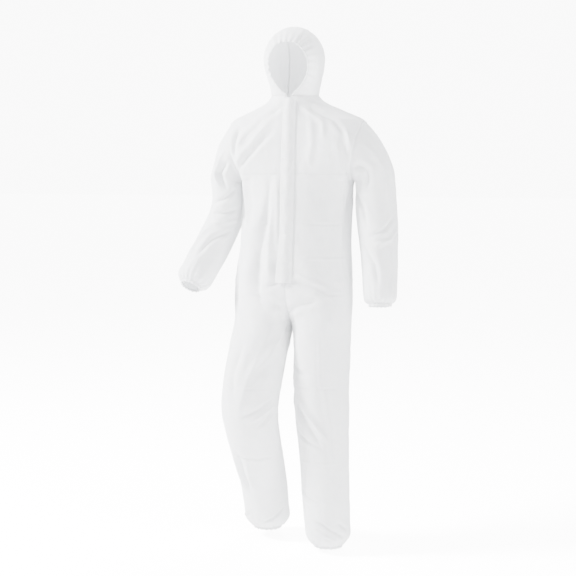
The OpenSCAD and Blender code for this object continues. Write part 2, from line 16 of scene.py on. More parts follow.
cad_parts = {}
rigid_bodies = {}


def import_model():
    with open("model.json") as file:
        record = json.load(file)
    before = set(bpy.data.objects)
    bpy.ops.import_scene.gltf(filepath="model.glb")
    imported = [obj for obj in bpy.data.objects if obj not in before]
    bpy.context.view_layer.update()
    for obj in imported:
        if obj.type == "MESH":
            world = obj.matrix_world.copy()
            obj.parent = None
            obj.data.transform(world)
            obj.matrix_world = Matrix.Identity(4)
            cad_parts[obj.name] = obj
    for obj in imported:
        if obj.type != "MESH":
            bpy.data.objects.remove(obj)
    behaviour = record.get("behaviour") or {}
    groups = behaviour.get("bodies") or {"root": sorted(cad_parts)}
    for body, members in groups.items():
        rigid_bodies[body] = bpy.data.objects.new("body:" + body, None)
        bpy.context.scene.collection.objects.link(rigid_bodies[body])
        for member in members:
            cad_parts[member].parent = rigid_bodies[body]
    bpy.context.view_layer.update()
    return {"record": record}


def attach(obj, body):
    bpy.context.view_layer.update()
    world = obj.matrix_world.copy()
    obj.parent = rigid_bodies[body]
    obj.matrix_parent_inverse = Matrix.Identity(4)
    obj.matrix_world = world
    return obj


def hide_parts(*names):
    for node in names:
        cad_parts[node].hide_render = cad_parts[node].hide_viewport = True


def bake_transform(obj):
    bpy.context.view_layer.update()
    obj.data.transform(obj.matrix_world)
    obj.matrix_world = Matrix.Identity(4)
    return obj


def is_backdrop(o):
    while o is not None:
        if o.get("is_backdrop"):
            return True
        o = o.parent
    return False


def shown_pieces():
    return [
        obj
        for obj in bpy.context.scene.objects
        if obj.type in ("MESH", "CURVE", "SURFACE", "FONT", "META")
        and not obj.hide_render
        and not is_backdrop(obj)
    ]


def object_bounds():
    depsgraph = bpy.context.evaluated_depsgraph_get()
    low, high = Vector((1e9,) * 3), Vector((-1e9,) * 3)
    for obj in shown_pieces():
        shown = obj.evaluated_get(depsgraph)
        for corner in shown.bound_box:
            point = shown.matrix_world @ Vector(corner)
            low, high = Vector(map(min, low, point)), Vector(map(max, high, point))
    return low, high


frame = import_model()

# ---- Sizes, in millimetres ----

NECK = 1560.0  # height of the neck seam, the row frame's origin, above the floor
LEFT, RIGHT = 0, 1
SIDES = (LEFT, RIGHT)
SIDE_NAME = ("left", "right")

joints = {j["name"]: j for j in frame["record"]["behaviour"]["joints"]}
shoulder = joints["shoulder_left"]
ARMHOLE = np.array(shoulder["pos_m"]) * 1000 + (0, 0, NECK)
ARMHOLE_LEAN = math.degrees(math.atan2(shoulder["axis"][2], -shoulder["axis"][0]))
ARMHOLE_R = 100.0
ANKLE_R = 50.0
WRIST_R = 36.0
CROTCH = 805.0
CHEST_SEAM = 1300.0
ZIP_TOP = 1552.0
FRONTS_PART = 930.0  # height from which the two fronts are apart for the zip
FRONT_LEAN = 0.086  # how far the front comes forward for each millimetre down from the neck
SIDE_Y = 20.0  # y of the armholes' centres
LEVEL_TOP = 1279.6  # height of the last level row of cloth, just under the armholes
PIVOT_GAP = 10.0  # a sleeve's first rings turn about a line this far past the underarm
FABRIC = 0.35  # thickness of the cloth

# Cross-sections of half the suit, as in the CAD: height, centre x, y of the widest point,
# half width, y of the front, y of the back
LEG_ROWS = (
    [
        (24, 125, -47, ANKLE_R, -97, 3), (38, 125, -47, 62, -110, 16),
        (62, 125, -47, 76, -124, 30), (110, 124, -47, 80, -128, 34),
        (200, 120, -47, 82, -130, 36), (300, 115, -47, 85, -133, 39),
        (400, 110, -46, 88, -135, 43), (500, 104, -44, 92, -138, 50),
        (600, 99, -40, 95, -140, 58), (700, 99, -34, 97, -142, 74), (770, 99.5, -30, 98, -146, 92),
    ],
    [
        (42, 123, 49, ANKLE_R, -1, 99), (56, 123, 48, 62, -15, 111),
        (80, 123, 45, 78, -34, 124), (130, 123, 36, 82, -47, 119),
        (200, 123, 12, 84, -73, 97), (300, 126, -40, 88, -127, 47),
        (400, 132, -92, 93, -183, -1), (500, 136, -119, 97, -213, -24),
        (600, 127, -112, 101, -213, -12), (700, 113, -84, 105, -192, 26),
        (770, 107, -56, 104.5, -170, 70),
    ],
)
CROTCH_ROWS = [
    (CROTCH, 101, -38, 101, -153, 98), (820, 96, -35, 105.5, -152, 103),
    (840, 85, -33, 116.5, -151, 109), (870, 60, -31, 141, -151, 117),
    (905, 20, -29, 180, -151.5, 123),
]
TRUNK_ROWS = [
    (930, 0, -28, 198, -149.7, 126), (960, 0, -24, 195, -147.2, 127),
    (1040, 0, -12, 187, -140.3, 120), (1120, 0, 0, 183, -133.4, 112),
    (1200, 0, 12, 187, -126.5, 122), (1280, 0, 20, 195.3, -119.7, 134),
    (1330, 0, 20, 205, -115.4, 136), (1430, 0, 20, 223, -106.8, 128),
    (1476, 0, 20, 231.7, -102.8, 112), (1500, 0, 12, 186, -100.8, 96),
    (1520, 0, 0, 138, -99, 78), (1540, 0, -12, 99, -97.3, 60), (NECK, 0, -24, 80, -95.6, 48),
]
BODY_ROWS = [np.array(LEG_ROWS[side] + CROTCH_ROWS + TRUNK_ROWS, float) for side in SIDES]
LOOSE_ROWS = [(770, 0), (CROTCH, 9), (930, 12), (1120, 10), (1280, 0)]

# Centre lines of the sleeves below the shoulder: x, y, height, half width, half depth
ARM_ROWS = (
    [
        (273, 18, 1200, 68, 78), (281, 8, 1120, 68, 74), (289, -8, 1040, 63, 68),
        (296, -26, 960, 59, 62), (301, -40, 905, 57, 58), (303, -46, 880, 50, 51),
        (304, -49, 866, WRIST_R, WRIST_R),
    ],
    [
        (260, 28, 1200, 57, 79), (277, 20, 1130, 61, 74), (302, -12, 1060, 63, 70),
        (322, -55, 1000, 63, 66), (337, -95, 952, 61, 61), (342, -111, 932, 51, 51),
        (345, -120, 920, WRIST_R, WRIST_R),
    ],
)
SHOULDER_RINGS = (
    [(ARMHOLE_R, ARMHOLE_R), (86, 96), (75, 91), (69, 86), (67, 82), (66, 79)],
    [(ARMHOLE_R, ARMHOLE_R), (80, 95), (66, 90), (58, 86), (55, 82), (55, 80)],
)
SHOULDER_TURN = 84.0

# Hood sections below the temples: height, half width, y of the front, y of the back
HOOD_ROWS = np.array([
    (NECK, 80, -95.6, 48), (1590, 86, -110, 57), (1620, 93, -124, 65),
    (1650, 100, -137, 71), (1680, 103, -143, 73),
], float)
TEMPLE, CROWN_RISE = 1680.0, 110.0
HOOD_HALF_W, HOOD_HALF_D, HOOD_Y = 103.0, 108.0, -35.0
CENTRE_HALF_W = 45.0
FACE_HALF_W, FACE_TOP, FACE_MID, CHIN = 62.0, 1728.0, 1662.0, 1564.0
FACE_HEM_W = 7.0


# ---- Curves and surfaces ----


def smooth(rows, x):
    """Values at x on a smooth curve through rows of (place, value, ...)."""
    rows = np.asarray(rows, float)
    i = int(np.clip(np.searchsorted(rows[:, 0], x, side="right") - 1, 0, len(rows) - 2))

    def slope(k):
        a, b = max(k - 1, 0), min(k + 1, len(rows) - 1)
        return (rows[b] - rows[a]) / (rows[b, 0] - rows[a, 0])

    w = rows[i + 1, 0] - rows[i, 0]
    s = (x - rows[i, 0]) / w
    return (
        rows[i] * (2 * s**3 - 3 * s**2 + 1) + slope(i) * w * (s**3 - 2 * s**2 + s)
        + rows[i + 1] * (3 * s**2 - 2 * s**3) + slope(i + 1) * w * (s**3 - s**2)
    )


def front_y(h):
    """How far forward the flat front between the zip's foot and the neck lies."""
    return -95.6 - FRONT_LEAN * (NECK - h)


def armhole_half(h):
    """Half the depth of the round armhole at a height, or 0 outside it."""
    up = (h - ARMHOLE[2]) / math.cos(math.radians(ARMHOLE_LEAN))
    return math.sqrt(ARMHOLE_R**2 - up**2) if abs(up) < ARMHOLE_R else 0.0


ARMHOLE_RISE = ARMHOLE_R * math.cos(math.radians(ARMHOLE_LEAN))
SHOULDER_TIP = ARMHOLE[2] + ARMHOLE_RISE
CHEST_START, CHEST_END = 1190.0, 1530.0  # where the trunk starts and ends being boxy


def smoothstep(x):
    x = min(max(x, 0.0), 1.0)
    return x * x * (3 - 2 * x)


def side_gap(h, s):
    """Half the depth of the flat side of the trunk: the armhole at the side, smoother elsewhere."""
    fuller = ARMHOLE_R * min(
        smoothstep((h - CHEST_START) / (ARMHOLE[2] - CHEST_START)),
        smoothstep((CHEST_END - h) / (CHEST_END - ARMHOLE[2])),
    )
    at_side = (1 - abs(2 * s - 1)) ** 3
    return armhole_half(h) * at_side + fuller * (1 - at_side)


def half_section(side, h):
    """Centre x, y of the widest point, half width, front depth and back depth."""
    r = smooth(BODY_ROWS[side], h)
    in_armhole = LEVEL_TOP - 0.6 < h < SHOULDER_TIP + 0.5
    a, cy = r[3], r[2]
    if in_armhole:
        a = ARMHOLE[0] + (h - ARMHOLE[2]) * math.tan(math.radians(ARMHOLE_LEAN))
        cy = SIDE_Y
    if h < CROTCH:
        cx = max(r[1], a + 1)
    elif h == CROTCH:
        cx = a
    else:
        cx = 0 if h > FRONTS_PART else min(max(r[1], 0), a)
    front = front_y(h) if h >= FRONTS_PART else r[4]
    return cx, cy, a, cy - front, r[5] - cy


def mirrored(side, p):
    """A point of the left side, or its mirror image for the right side."""
    return np.array((-p[0] if side == RIGHT else p[0], p[1], p[2]))


def body_point(side, h, s, inset=0.0):
    """Point of the body: s is 0 at the front midline, 0.5 at the side and 1 at the back."""
    cx, cy, a, front, back = half_section(side, h)
    a -= inset
    sweep = math.pi if h < CROTCH else math.acos(-min(1, cx / a))
    turn = sweep * (2 * s - 1)
    gap = side_gap(h, s)
    depth = (front if turn < 0 else back) - inset
    loose = np.interp(h, *zip(*LOOSE_ROWS)) if side == RIGHT else 0
    x = cx + (a + (loose if math.cos(turn) > 0 else 0)) * math.cos(turn)
    if abs(x) < 1e-6:
        x = 0.0
    y = cy + math.copysign(gap, turn) * (turn != 0) + (depth - gap) * math.sin(turn)
    return mirrored(side, (x, y, h))


def arc_share(side, h, x):
    """Share of the way round the front at which the trunk is x from the midline."""
    return math.asin(min(1, x / half_section(side, h)[2])) / math.pi


def sleeve_rings(side):
    """Rings of a sleeve: centre, direction down the sleeve, half width and half depth."""
    lean = math.radians(ARMHOLE_LEAN)
    pivot = ARMHOLE[[0, 2]] - (ARMHOLE_R + PIVOT_GAP) * np.array((math.sin(lean), math.cos(lean)))
    rings = []
    for k, (half, deep) in enumerate(SHOULDER_RINGS[side]):
        angle = lean + (math.radians(SHOULDER_TURN) - lean) * k / 5
        c = pivot + (half + PIVOT_GAP) * np.array((math.sin(angle), math.cos(angle)))
        down = np.array((math.cos(angle), 0, -math.sin(angle)))
        centre = np.array((c[0], SIDE_Y, c[1])) + (0.8 * down if k == 0 else 0)
        rings.append((centre, down, half, deep))
    arm = np.array(ARM_ROWS[side], float)
    for i, row in enumerate(arm):
        before = arm[i - 1, :3] if i else row[:3] + (0, 0, 60)
        after = arm[min(i + 1, len(arm) - 1), :3]
        down = (after - before) / np.linalg.norm(after - before)
        rings.append((row[:3], down, row[3], row[4]))
    return rings


def hood_section(h):
    """Half width, y of the middle and half depth of the hood: a dome above the temples."""
    if h > TEMPLE:
        q = math.sqrt(max(0.0, 1 - ((h - TEMPLE) / CROWN_RISE) ** 2))
        return HOOD_HALF_W * q, HOOD_Y, HOOD_HALF_D * q
    r = smooth(HOOD_ROWS, h)
    return r[1], (r[2] + r[3]) / 2, (r[3] - r[2]) / 2


def hood_point(h, x, back):
    """Point of the hood at a height and a distance from the midline, front or back."""
    a, mid, b = hood_section(h)
    share = min(1.0, abs(x) / a)
    return np.array((x, mid + (b if back else -b) * math.sqrt(1 - share**2), h))


def face_half(h):
    """Half width of the face opening."""
    if h >= FACE_TOP:
        return 0.0
    if h > FACE_MID:
        return FACE_HALF_W * math.sqrt(1 - ((h - FACE_MID) / (FACE_TOP - FACE_MID)) ** 2)
    share = min(max((h - CHIN) / (FACE_MID - CHIN), 0), 1)
    return 3 + (FACE_HALF_W - 3) * math.sin(math.pi / 2 * share**0.8)


# ---- Grids of cloth ----

COLUMNS = 22  # columns of cloth in a front or back panel, half way round one side
# Rows beside the armhole: the turn round it at the side and the height at the midline
ARMHOLE_TURNS = np.concatenate([(-77.5, -65), np.linspace(-52.5, 90, 13)])
ARMHOLE_MIDS = np.concatenate([(1286.4, 1293.2), np.linspace(CHEST_SEAM, SHOULDER_TIP, 13)])


def body_rows(side):
    """Heights of the cloth's rows: (at the midline, at the side seam)."""
    low = LEG_ROWS[side][0][0]
    leg = [low + up for up in (0, 4, 8, 13, 19, 26, 34, 43, 53)]
    leg += list(np.linspace(low + 64, 700, 52))
    hip = list(np.linspace(700, CROTCH, 10)[1:]) + [812, 820, 829, 840]
    trunk = list(np.linspace(840, LEVEL_TOP, 39)[1:])
    rows = [(h, h) for h in leg + hip + trunk]
    rows += [
        (mid, ARMHOLE[2] + ARMHOLE_RISE * math.sin(math.radians(turn)))
        for mid, turn in zip(ARMHOLE_MIDS, ARMHOLE_TURNS)
    ]
    rows += [(h, h) for h in np.linspace(SHOULDER_TIP, NECK, 15)[1:]]
    return rows


def body_grid(side, back):
    """The front or back panel of one side, from the ankle to the neck."""
    rows = body_rows(side)
    grid = np.empty((len(rows), COLUMNS + 1, 3))
    for i, (mid, at_side) in enumerate(rows):
        open_share = arc_share(side, mid, 6.0) if mid > FRONTS_PART else 0.0
        start = open_share * min(max((mid - FRONTS_PART) / 16, 0), 1)
        for j in range(COLUMNS + 1):
            u = j / COLUMNS
            s = 0.5 + 0.5 * u if back else start + (0.5 - start) * u
            toward = (1 - abs(2 * s - 1)) ** 2
            h = mid + (at_side - mid) * toward
            p = body_point(side, h, s)
            at_seam = j == (0 if back else COLUMNS)
            if at_seam and LEVEL_TOP < h < SHOULDER_TIP - 0.01:
                p[1] = SIDE_Y + (1 if back else -1) * armhole_half(h)
            grid[i, j] = p
    return grid


SLEEVE_COLUMNS = 40


def sleeve_grid(side):
    """A sleeve, from the armhole to the wrist, with its seam under the arm."""
    rings = sleeve_rings(side)
    table = np.array([
        np.concatenate([[k], c, d, [wide, deep]]) for k, (c, d, wide, deep) in enumerate(rings)
    ])
    stops = [0.0]
    for k in range(len(rings) - 1):
        length = np.linalg.norm(rings[k + 1][0] - rings[k][0])
        steps = max(2, round(length / (12 if k < 10 else 7)))
        stops += [k + (n + 1) / steps for n in range(steps)]
    grid = np.empty((len(stops), SLEEVE_COLUMNS + 1, 3))
    for i, k in enumerate(stops):
        row = smooth(table, k)
        down = row[4:7] / np.linalg.norm(row[4:7])
        deep = np.array((0, 1, 0)) - down * down[1]
        deep /= np.linalg.norm(deep)
        wide = np.cross(down, deep)
        for j in range(SLEEVE_COLUMNS + 1):
            turn = math.pi - 2 * math.pi * (j % SLEEVE_COLUMNS) / SLEEVE_COLUMNS
            p = row[1:4] + row[7] * math.cos(turn) * wide + row[8] * math.sin(turn) * deep
            grid[i, j] = mirrored(side, p)
    return grid


HOOD_TURNS = np.radians(np.concatenate([(0, 7.4, 14.8), np.linspace(22.0, 90, 10)]))
SEAM_K = math.sqrt(1 - (CENTRE_HALF_W / HOOD_HALF_W) ** 2)  # the dome's share at the hood's seams
HOOD_LOW = np.linspace(NECK + 0.4, TEMPLE, 13)


def hood_side_grid(side):
    """A side panel of the hood, from the face opening round to the centre panel."""
    heights = list(HOOD_LOW) + list(TEMPLE + CROWN_RISE * SEAM_K * np.sin(HOOD_TURNS[1:]))
    columns = 26
    grid = np.empty((len(heights), columns + 1, 3))
    for i, h in enumerate(heights):
        a = hood_section(h)[0]
        hem_x = face_half(h) + FACE_HEM_W
        front = max(hem_x, CENTRE_HALF_W) if h > FACE_MID else hem_x
        turns = (-math.acos(min(1, front / a)), math.acos(min(1, CENTRE_HALF_W / a)))
        for j in range(columns + 1):
            turn = turns[0] + (turns[1] - turns[0]) * j / columns
            x = min(a * math.cos(turn), a)
            if j == columns or (j == 0 and front == CENTRE_HALF_W):
                x = CENTRE_HALF_W
            grid[i, j] = mirrored(side, hood_point(h, x, turn > 0))
    return grid


def hood_centre_grid():
    """The centre panel of the hood, from the forehead over the crown down to the neck."""
    columns = np.linspace(-CENTRE_HALF_W, CENTRE_HALF_W, 11)
    seam_turns = list(HOOD_TURNS[3:]) + list(math.pi - HOOD_TURNS[::-1][1:])
    low = list(HOOD_LOW[::-1][1:])
    first_at_seam = seam_turns[0]
    grid = np.empty((len(seam_turns) + len(low), len(columns), 3))
    for j, x in enumerate(columns):
        k = math.sqrt(1 - (x / HOOD_HALF_W) ** 2)
        round_face = math.sqrt(1 - (x / (FACE_HALF_W + FACE_HEM_W)) ** 2)
        hem_top = FACE_MID + (FACE_TOP + FACE_HEM_W - FACE_MID) * round_face
        first = math.asin((hem_top - TEMPLE) / (CROWN_RISE * k))
        edge = abs(abs(x) - CENTRE_HALF_W) < 1e-6
        for i, t in enumerate(seam_turns):
            share = (t - first_at_seam) / (math.pi - first_at_seam)
            turn = t if edge else first + (math.pi - first) * share
            y = HOOD_Y - HOOD_HALF_D * k * math.cos(turn)
            grid[i, j] = (x, y, TEMPLE + CROWN_RISE * k * math.sin(turn))
        for i, h in enumerate(low):
            grid[len(seam_turns) + i, j] = hood_point(h, x, True)
    return grid


def upsampled(grid, times=2, periodic=False):
    """The same sheet with each cell cut into times x times, on Catmull-Rom curves."""

    def along(g, wrap):
        n = len(g)
        if wrap:
            padded = np.concatenate([g[-2:-1], g, g[1:2]])
        else:
            padded = np.concatenate([2 * g[:1] - g[1:2], g, 2 * g[-1:] - g[-2:-1]])
        out = [g[0]]
        for i in range(n - 1):
            a, b, c, d = padded[i : i + 4]
            for step in range(1, times + 1):
                t = step / times
                out.append(0.5 * (
                    2 * b + (c - a) * t + (2 * a - 5 * b + 4 * c - d) * t**2
                    + (3 * b - a - 3 * c + d) * t**3
                ))
        return np.array(out)

    g = along(grid, False)
    return np.swapaxes(along(np.swapaxes(g, 0, 1), periodic), 0, 1)


WELD = 0.02  # points on the same spot of a lattice this fine are one point


def joined(points):
    """Numbers of the points to keep, and for every point its place among those."""
    keys = np.round(points / WELD).astype(np.int64)
    _, first, back = np.unique(keys, axis=0, return_index=True, return_inverse=True)
    return first, back.reshape(-1)


def sheet_faces(ids, flip):
    """Faces between the points of a grid; corners that are one point count once."""
    faces = []
    for i in range(ids.shape[0] - 1):
        for j in range(ids.shape[1] - 1):
            quad = [ids[i, j], ids[i, j + 1], ids[i + 1, j + 1], ids[i + 1, j]]
            if flip:
                quad.reverse()
            corners = [int(v) for k, v in enumerate(quad) if v != quad[k - 1]]
            if len(set(corners)) > 2:
                faces.append(corners)
    return faces


class Cloth:
    """All the sheets together, with the points that they share along their seams joined."""

    def __init__(self, grids):
        points = np.concatenate([g.reshape(-1, 3) for g in grids.values()])
        first, back = joined(points)
        self.points = points[first]
        self.ids, start = {}, 0
        for name, g in grids.items():
            count = g.shape[0] * g.shape[1]
            self.ids[name] = back[start : start + count].reshape(g.shape[:2])
            start += count


GRIDS = {}
for side, word in enumerate(SIDE_NAME):
    GRIDS[f"front_{word}"] = body_grid(side, False)
    GRIDS[f"back_{word}"] = body_grid(side, True)
GRIDS.update({f"sleeve_{word}": sleeve_grid(side) for side, word in enumerate(SIDE_NAME)})
GRIDS.update({f"hood_{word}": hood_side_grid(side) for side, word in enumerate(SIDE_NAME)})
GRIDS["hood_centre"] = hood_centre_grid()
FLIPPED = {name: name.endswith("right") for name in GRIDS}  # mirrored sheets face the other way


# ---- Slackening the cloth ----


def row_frame(points):
    """Millimetres above the floor to metres in the row frame."""
    return (np.asarray(points, float) - (0, 0, NECK)) / 1000


def new_mesh(name, points, faces):
    """A flat-shaded object from points in millimetres above the floor."""
    mesh = bpy.data.meshes.new(name)
    mesh.from_pydata([tuple(p) for p in row_frame(points)], [], faces)
    obj = bpy.data.objects.new(name, mesh)
    bpy.context.collection.objects.link(obj)
    return obj


# How far inside the suit the mannequin is: height and inset
INSET_ROWS = [
    (0, 30), (300, 26), (500, 16), (700, 18), (900, 10), (1250, 13), (1400, 4), (1500, 3),
]
BODY_STEPS = 12


def mannequin():
    """The hidden figure that the cloth lies against: the same surfaces, set inwards."""
    parts = []
    for side in SIDES:
        heights = list(np.linspace(60, 1555, 90))
        for start in (0, 0.5):
            grid = np.empty((len(heights), BODY_STEPS + 1, 3))
            for i, h in enumerate(heights):
                inset = np.interp(h, *zip(*INSET_ROWS))
                for j in range(BODY_STEPS + 1):
                    grid[i, j] = body_point(side, h, start + 0.5 * j / BODY_STEPS, inset)
            parts.append((side, grid))
        sleeve = sleeve_grid(side)[4:-3]
        centres = sleeve[:, :-1].mean(axis=1, keepdims=True)
        arm_rows = [(0, 0.96), (6, 0.86), (20, 0.72), (len(sleeve) - 1, 0.62)]
        keep = np.interp(np.arange(len(sleeve)), *zip(*arm_rows))
        parts.append((side, centres + (sleeve - centres) * keep[:, None, None]))
    points, faces = [], []
    for side, g in parts:
        start, (rows, columns) = len(points), g.shape[:2]
        points += list(g.reshape(-1, 3))
        order = (0, 1, columns + 1, columns) if side == LEFT else (0, columns, columns + 1, 1)
        faces += [
            tuple(start + i * columns + j + k for k in order)
            for i in range(rows - 1) for j in range(columns - 1)
        ]
    return new_mesh("mannequin", points, faces)


def pin_weights(cloth):
    """How firmly each point keeps its place: 1 at zip, neck, armholes, face and hems."""
    weights = np.full(len(cloth.points), 0.02)
    for side in SIDE_NAME:
        for part in ("front", "back"):
            ids = cloth.ids[f"{part}_{side}"]
            heights = cloth.points[ids][..., 2]
            shoulder_hold = np.clip((heights - 1390) / 90, 0.02, 0.95)
            crotch_hold = np.clip(0.3 - np.abs(heights - CROTCH - 8) / 100, 0.02, 0.3)
            from_side = np.arange(COLUMNS, -1, -1) if part == "front" else np.arange(COLUMNS + 1)
            beside_armhole = np.clip(0.5 - 0.14 * from_side, 0, 1)[None, :] * (
                np.abs(heights - ARMHOLE[2]) < ARMHOLE_RISE + 10
            )
            for hold in (shoulder_hold, crotch_hold, beside_armhole):
                np.maximum.at(weights, ids, hold)
            weights[ids[:1]] = 1
            weights[ids[-1:]] = 1
            edge = ids[:, -1] if part == "front" else ids[:, 0]
            on_armhole = np.abs(cloth.points[edge][:, 2] - ARMHOLE[2]) < ARMHOLE_RISE + 0.5
            weights[edge[on_armhole]] = 1
            if part == "front":
                beside_zip = cloth.points[ids[:, 0]][:, 2] > FRONTS_PART + 5
                for column, hold in enumerate((1, 0.8, 0.6, 0.3)):
                    np.maximum.at(weights, ids[beside_zip, column], hold)
        ids = cloth.ids[f"sleeve_{side}"]
        weights[ids[0]] = 1
        weights[ids[-1]] = 1
        np.maximum.at(weights, ids[1:4], 0.3)
    for name in ("hood_left", "hood_right", "hood_centre"):
        ids = cloth.ids[name]
        np.maximum.at(weights, ids, 0.7)
    for side in SIDE_NAME:
        ids = cloth.ids[f"hood_{side}"]
        weights[ids[0]] = 1
        weights[ids[:, 0]] = 1
    weights[cloth.ids["hood_centre"][0]] = 1
    weights[cloth.ids["hood_centre"][-1]] = 1
    return weights


SIM_FRAMES = 26
MOST_MOVE = 17.0  # no point of the cloth ends further than this from where it started
FINE_TIMES, BROAD_TIMES, BROAD_BACK = 4, 16, 0.6  # which part of the movement is kept


def slackened(cloth):
    """The cloth's points once it has settled over the mannequin, a few percent too big for it."""
    faces = [f for name, ids in cloth.ids.items() for f in sheet_faces(ids, FLIPPED[name])]
    garment = new_mesh("garment_cloth", cloth.points, faces)
    pins = garment.vertex_groups.new(name="pins")
    for i, w in enumerate(pin_weights(cloth)):
        pins.add([i], float(w), "REPLACE")
    body = mannequin()
    body.modifiers.new("collision", "COLLISION")
    body.collision.thickness_outer = 0.003
    body.collision.cloth_friction = 12
    cloth_mod = garment.modifiers.new("cloth", "CLOTH")
    settings = cloth_mod.settings
    settings.quality = 6
    settings.mass = 0.15
    settings.tension_stiffness = 18
    settings.compression_stiffness = 18
    settings.shear_stiffness = 8
    settings.bending_stiffness = 1.2
    settings.tension_damping = settings.compression_damping = 12
    settings.shear_damping = 8
    settings.bending_damping = 2
    settings.shrink_min = -0.04
    settings.vertex_group_mass = "pins"
    settings.pin_stiffness = 1
    settings.effector_weights.gravity = 0.9
    cloth_mod.collision_settings.distance_min = 0.003
    cloth_mod.collision_settings.collision_quality = 2
    cloth_mod.collision_settings.use_self_collision = False
    scene = bpy.context.scene
    cloth_mod.point_cache.frame_start = 1
    cloth_mod.point_cache.frame_end = SIM_FRAMES
    for number in range(1, SIM_FRAMES + 1):
        scene.frame_set(number)
    settled = garment.evaluated_get(bpy.context.evaluated_depsgraph_get())
    co = np.empty(len(cloth.points) * 3)
    settled.data.vertices.foreach_get("co", co)
    moved = co.reshape(-1, 3) * 1000 + (0, 0, NECK) - cloth.points
    scene.frame_set(1)
    for obj in (garment, body):
        bpy.data.objects.remove(obj, do_unlink=True)
    length = np.linalg.norm(moved, axis=1, keepdims=True)
    moved *= np.tanh(length / MOST_MOVE) * MOST_MOVE / np.maximum(length, 1e-6)
    fine_part, broad = broad_part(cloth, moved, FINE_TIMES), broad_part(cloth, moved, BROAD_TIMES)
    return cloth.points + fine_part - BROAD_BACK * broad


def broad_part(cloth, values, times):
    """Values at the cloth's points, averaged with their neighbours' several times."""
    pairs = []
    for ids in cloth.ids.values():
        pairs.append(np.stack([ids[:-1].ravel(), ids[1:].ravel()]))
        pairs.append(np.stack([ids[:, :-1].ravel(), ids[:, 1:].ravel()]))
    a, b = np.concatenate(pairs, axis=1)
    count = np.bincount(a, minlength=len(values)) + np.bincount(b, minlength=len(values)) + 1
    for _ in range(times):
        total = values.copy()
        np.add.at(total, a, values[b])
        np.add.at(total, b, values[a])
        values = total / count[:, None]
    return values


# ---- Folds, gathers and creases ----

cloth = Cloth(GRIDS)
settled = slackened(cloth)
FINE = 3  # each cell of the simulated cloth becomes FINE x FINE cells
rest_grids = {n: upsampled(g, FINE, n.startswith("sleeve")) for n, g in GRIDS.items()}
fine = Cloth(rest_grids)
shape = np.empty_like(fine.points)
for name in GRIDS:
    shape[fine.ids[name]] = upsampled(settled[cloth.ids[name]], FINE, name.startswith("sleeve"))


def unit(vectors):
    return vectors / np.maximum(np.linalg.norm(vectors, axis=-1, keepdims=True), 1e-9)


def normals_of(cloth, points):
    """Outward unit normals of the joined cloth at each point."""
    total = np.zeros_like(points)
    for name, ids in cloth.ids.items():
        a, b, c, d = ids[:-1, :-1], ids[:-1, 1:], ids[1:, 1:], ids[1:, :-1]
        across = np.cross(points[c] - points[a], points[d] - points[b])
        if FLIPPED[name]:
            across = -across
        for corner in (a, b, c, d):
            np.add.at(total, corner, across)
    return unit(total)


def between(stops, steps):
    """Pairs of values through stops, with so many steps from each stop to the next."""
    stops = np.array(stops, float)
    at = np.linspace(0, len(stops) - 1, steps * (len(stops) - 1) + 1)
    return zip(*(np.interp(at, np.arange(len(stops)), column) for column in stops.T))


def suit_path(side, stops, steps=10):
    """Points on the body through stops of (height, share of the way round)."""
    return np.array([body_point(side, h, s) for h, s in between(stops, steps)])


def sleeve_path(side, stops, steps=6):
    """Points on a sleeve through stops of (row, column) of its grid; column 20 is outermost."""
    grid = GRIDS[f"sleeve_{SIDE_NAME[side]}"]
    points = []
    for r, c in between(stops, steps):
        i, j = min(int(r), len(grid) - 2), min(int(c), grid.shape[1] - 2)
        u, v = r - i, c - j
        points.append(
            (1 - u) * ((1 - v) * grid[i, j] + v * grid[i, j + 1])
            + u * ((1 - v) * grid[i + 1, j] + v * grid[i + 1, j + 1])
        )
    return np.array(points)


DEEPEN = 1.25  # how much deeper than their listed heights the folds are pressed
FOLD_REACH = 3.4  # how many widths from its middle a fold still shows


def press_fold(lift, path, width, height):
    """Adds a ridge, or a valley if height is negative, with its shoulders, along a path."""
    low, high = path.min(axis=0) - 3.5 * width, path.max(axis=0) + 3.5 * width
    near = np.where(np.all((fine.points > low) & (fine.points < high), axis=1))[0]
    if not len(near):
        return
    p = fine.points[near]
    best = np.full(len(near), 1e9)
    along = np.zeros(len(near))
    lengths = np.linalg.norm(np.diff(path, axis=0), axis=1)
    total = max(lengths.sum(), 1e-6)
    done = 0.0
    for a, b, length in zip(path[:-1], path[1:], lengths):
        if length < 1e-6:
            continue
        t = np.clip(((p - a) @ (b - a)) / length**2, 0, 1)
        d = np.linalg.norm(p - (a + t[:, None] * (b - a)), axis=1)
        closer = d < best
        best[closer] = d[closer]
        along[closer] = (done + t[closer] * length) / total
        done += length
    x = best / width
    taper = np.clip(np.minimum(along, 1 - along) * 5, 0.0, 1)
    hat = 1.15 * np.exp(-1.5 * x**1.3) - 0.4 * np.exp(-((x - 1.7) ** 2))
    lift[near] += DEEPEN * height * hat * (0.25 + 0.75 * taper) * (best < FOLD_REACH * width)


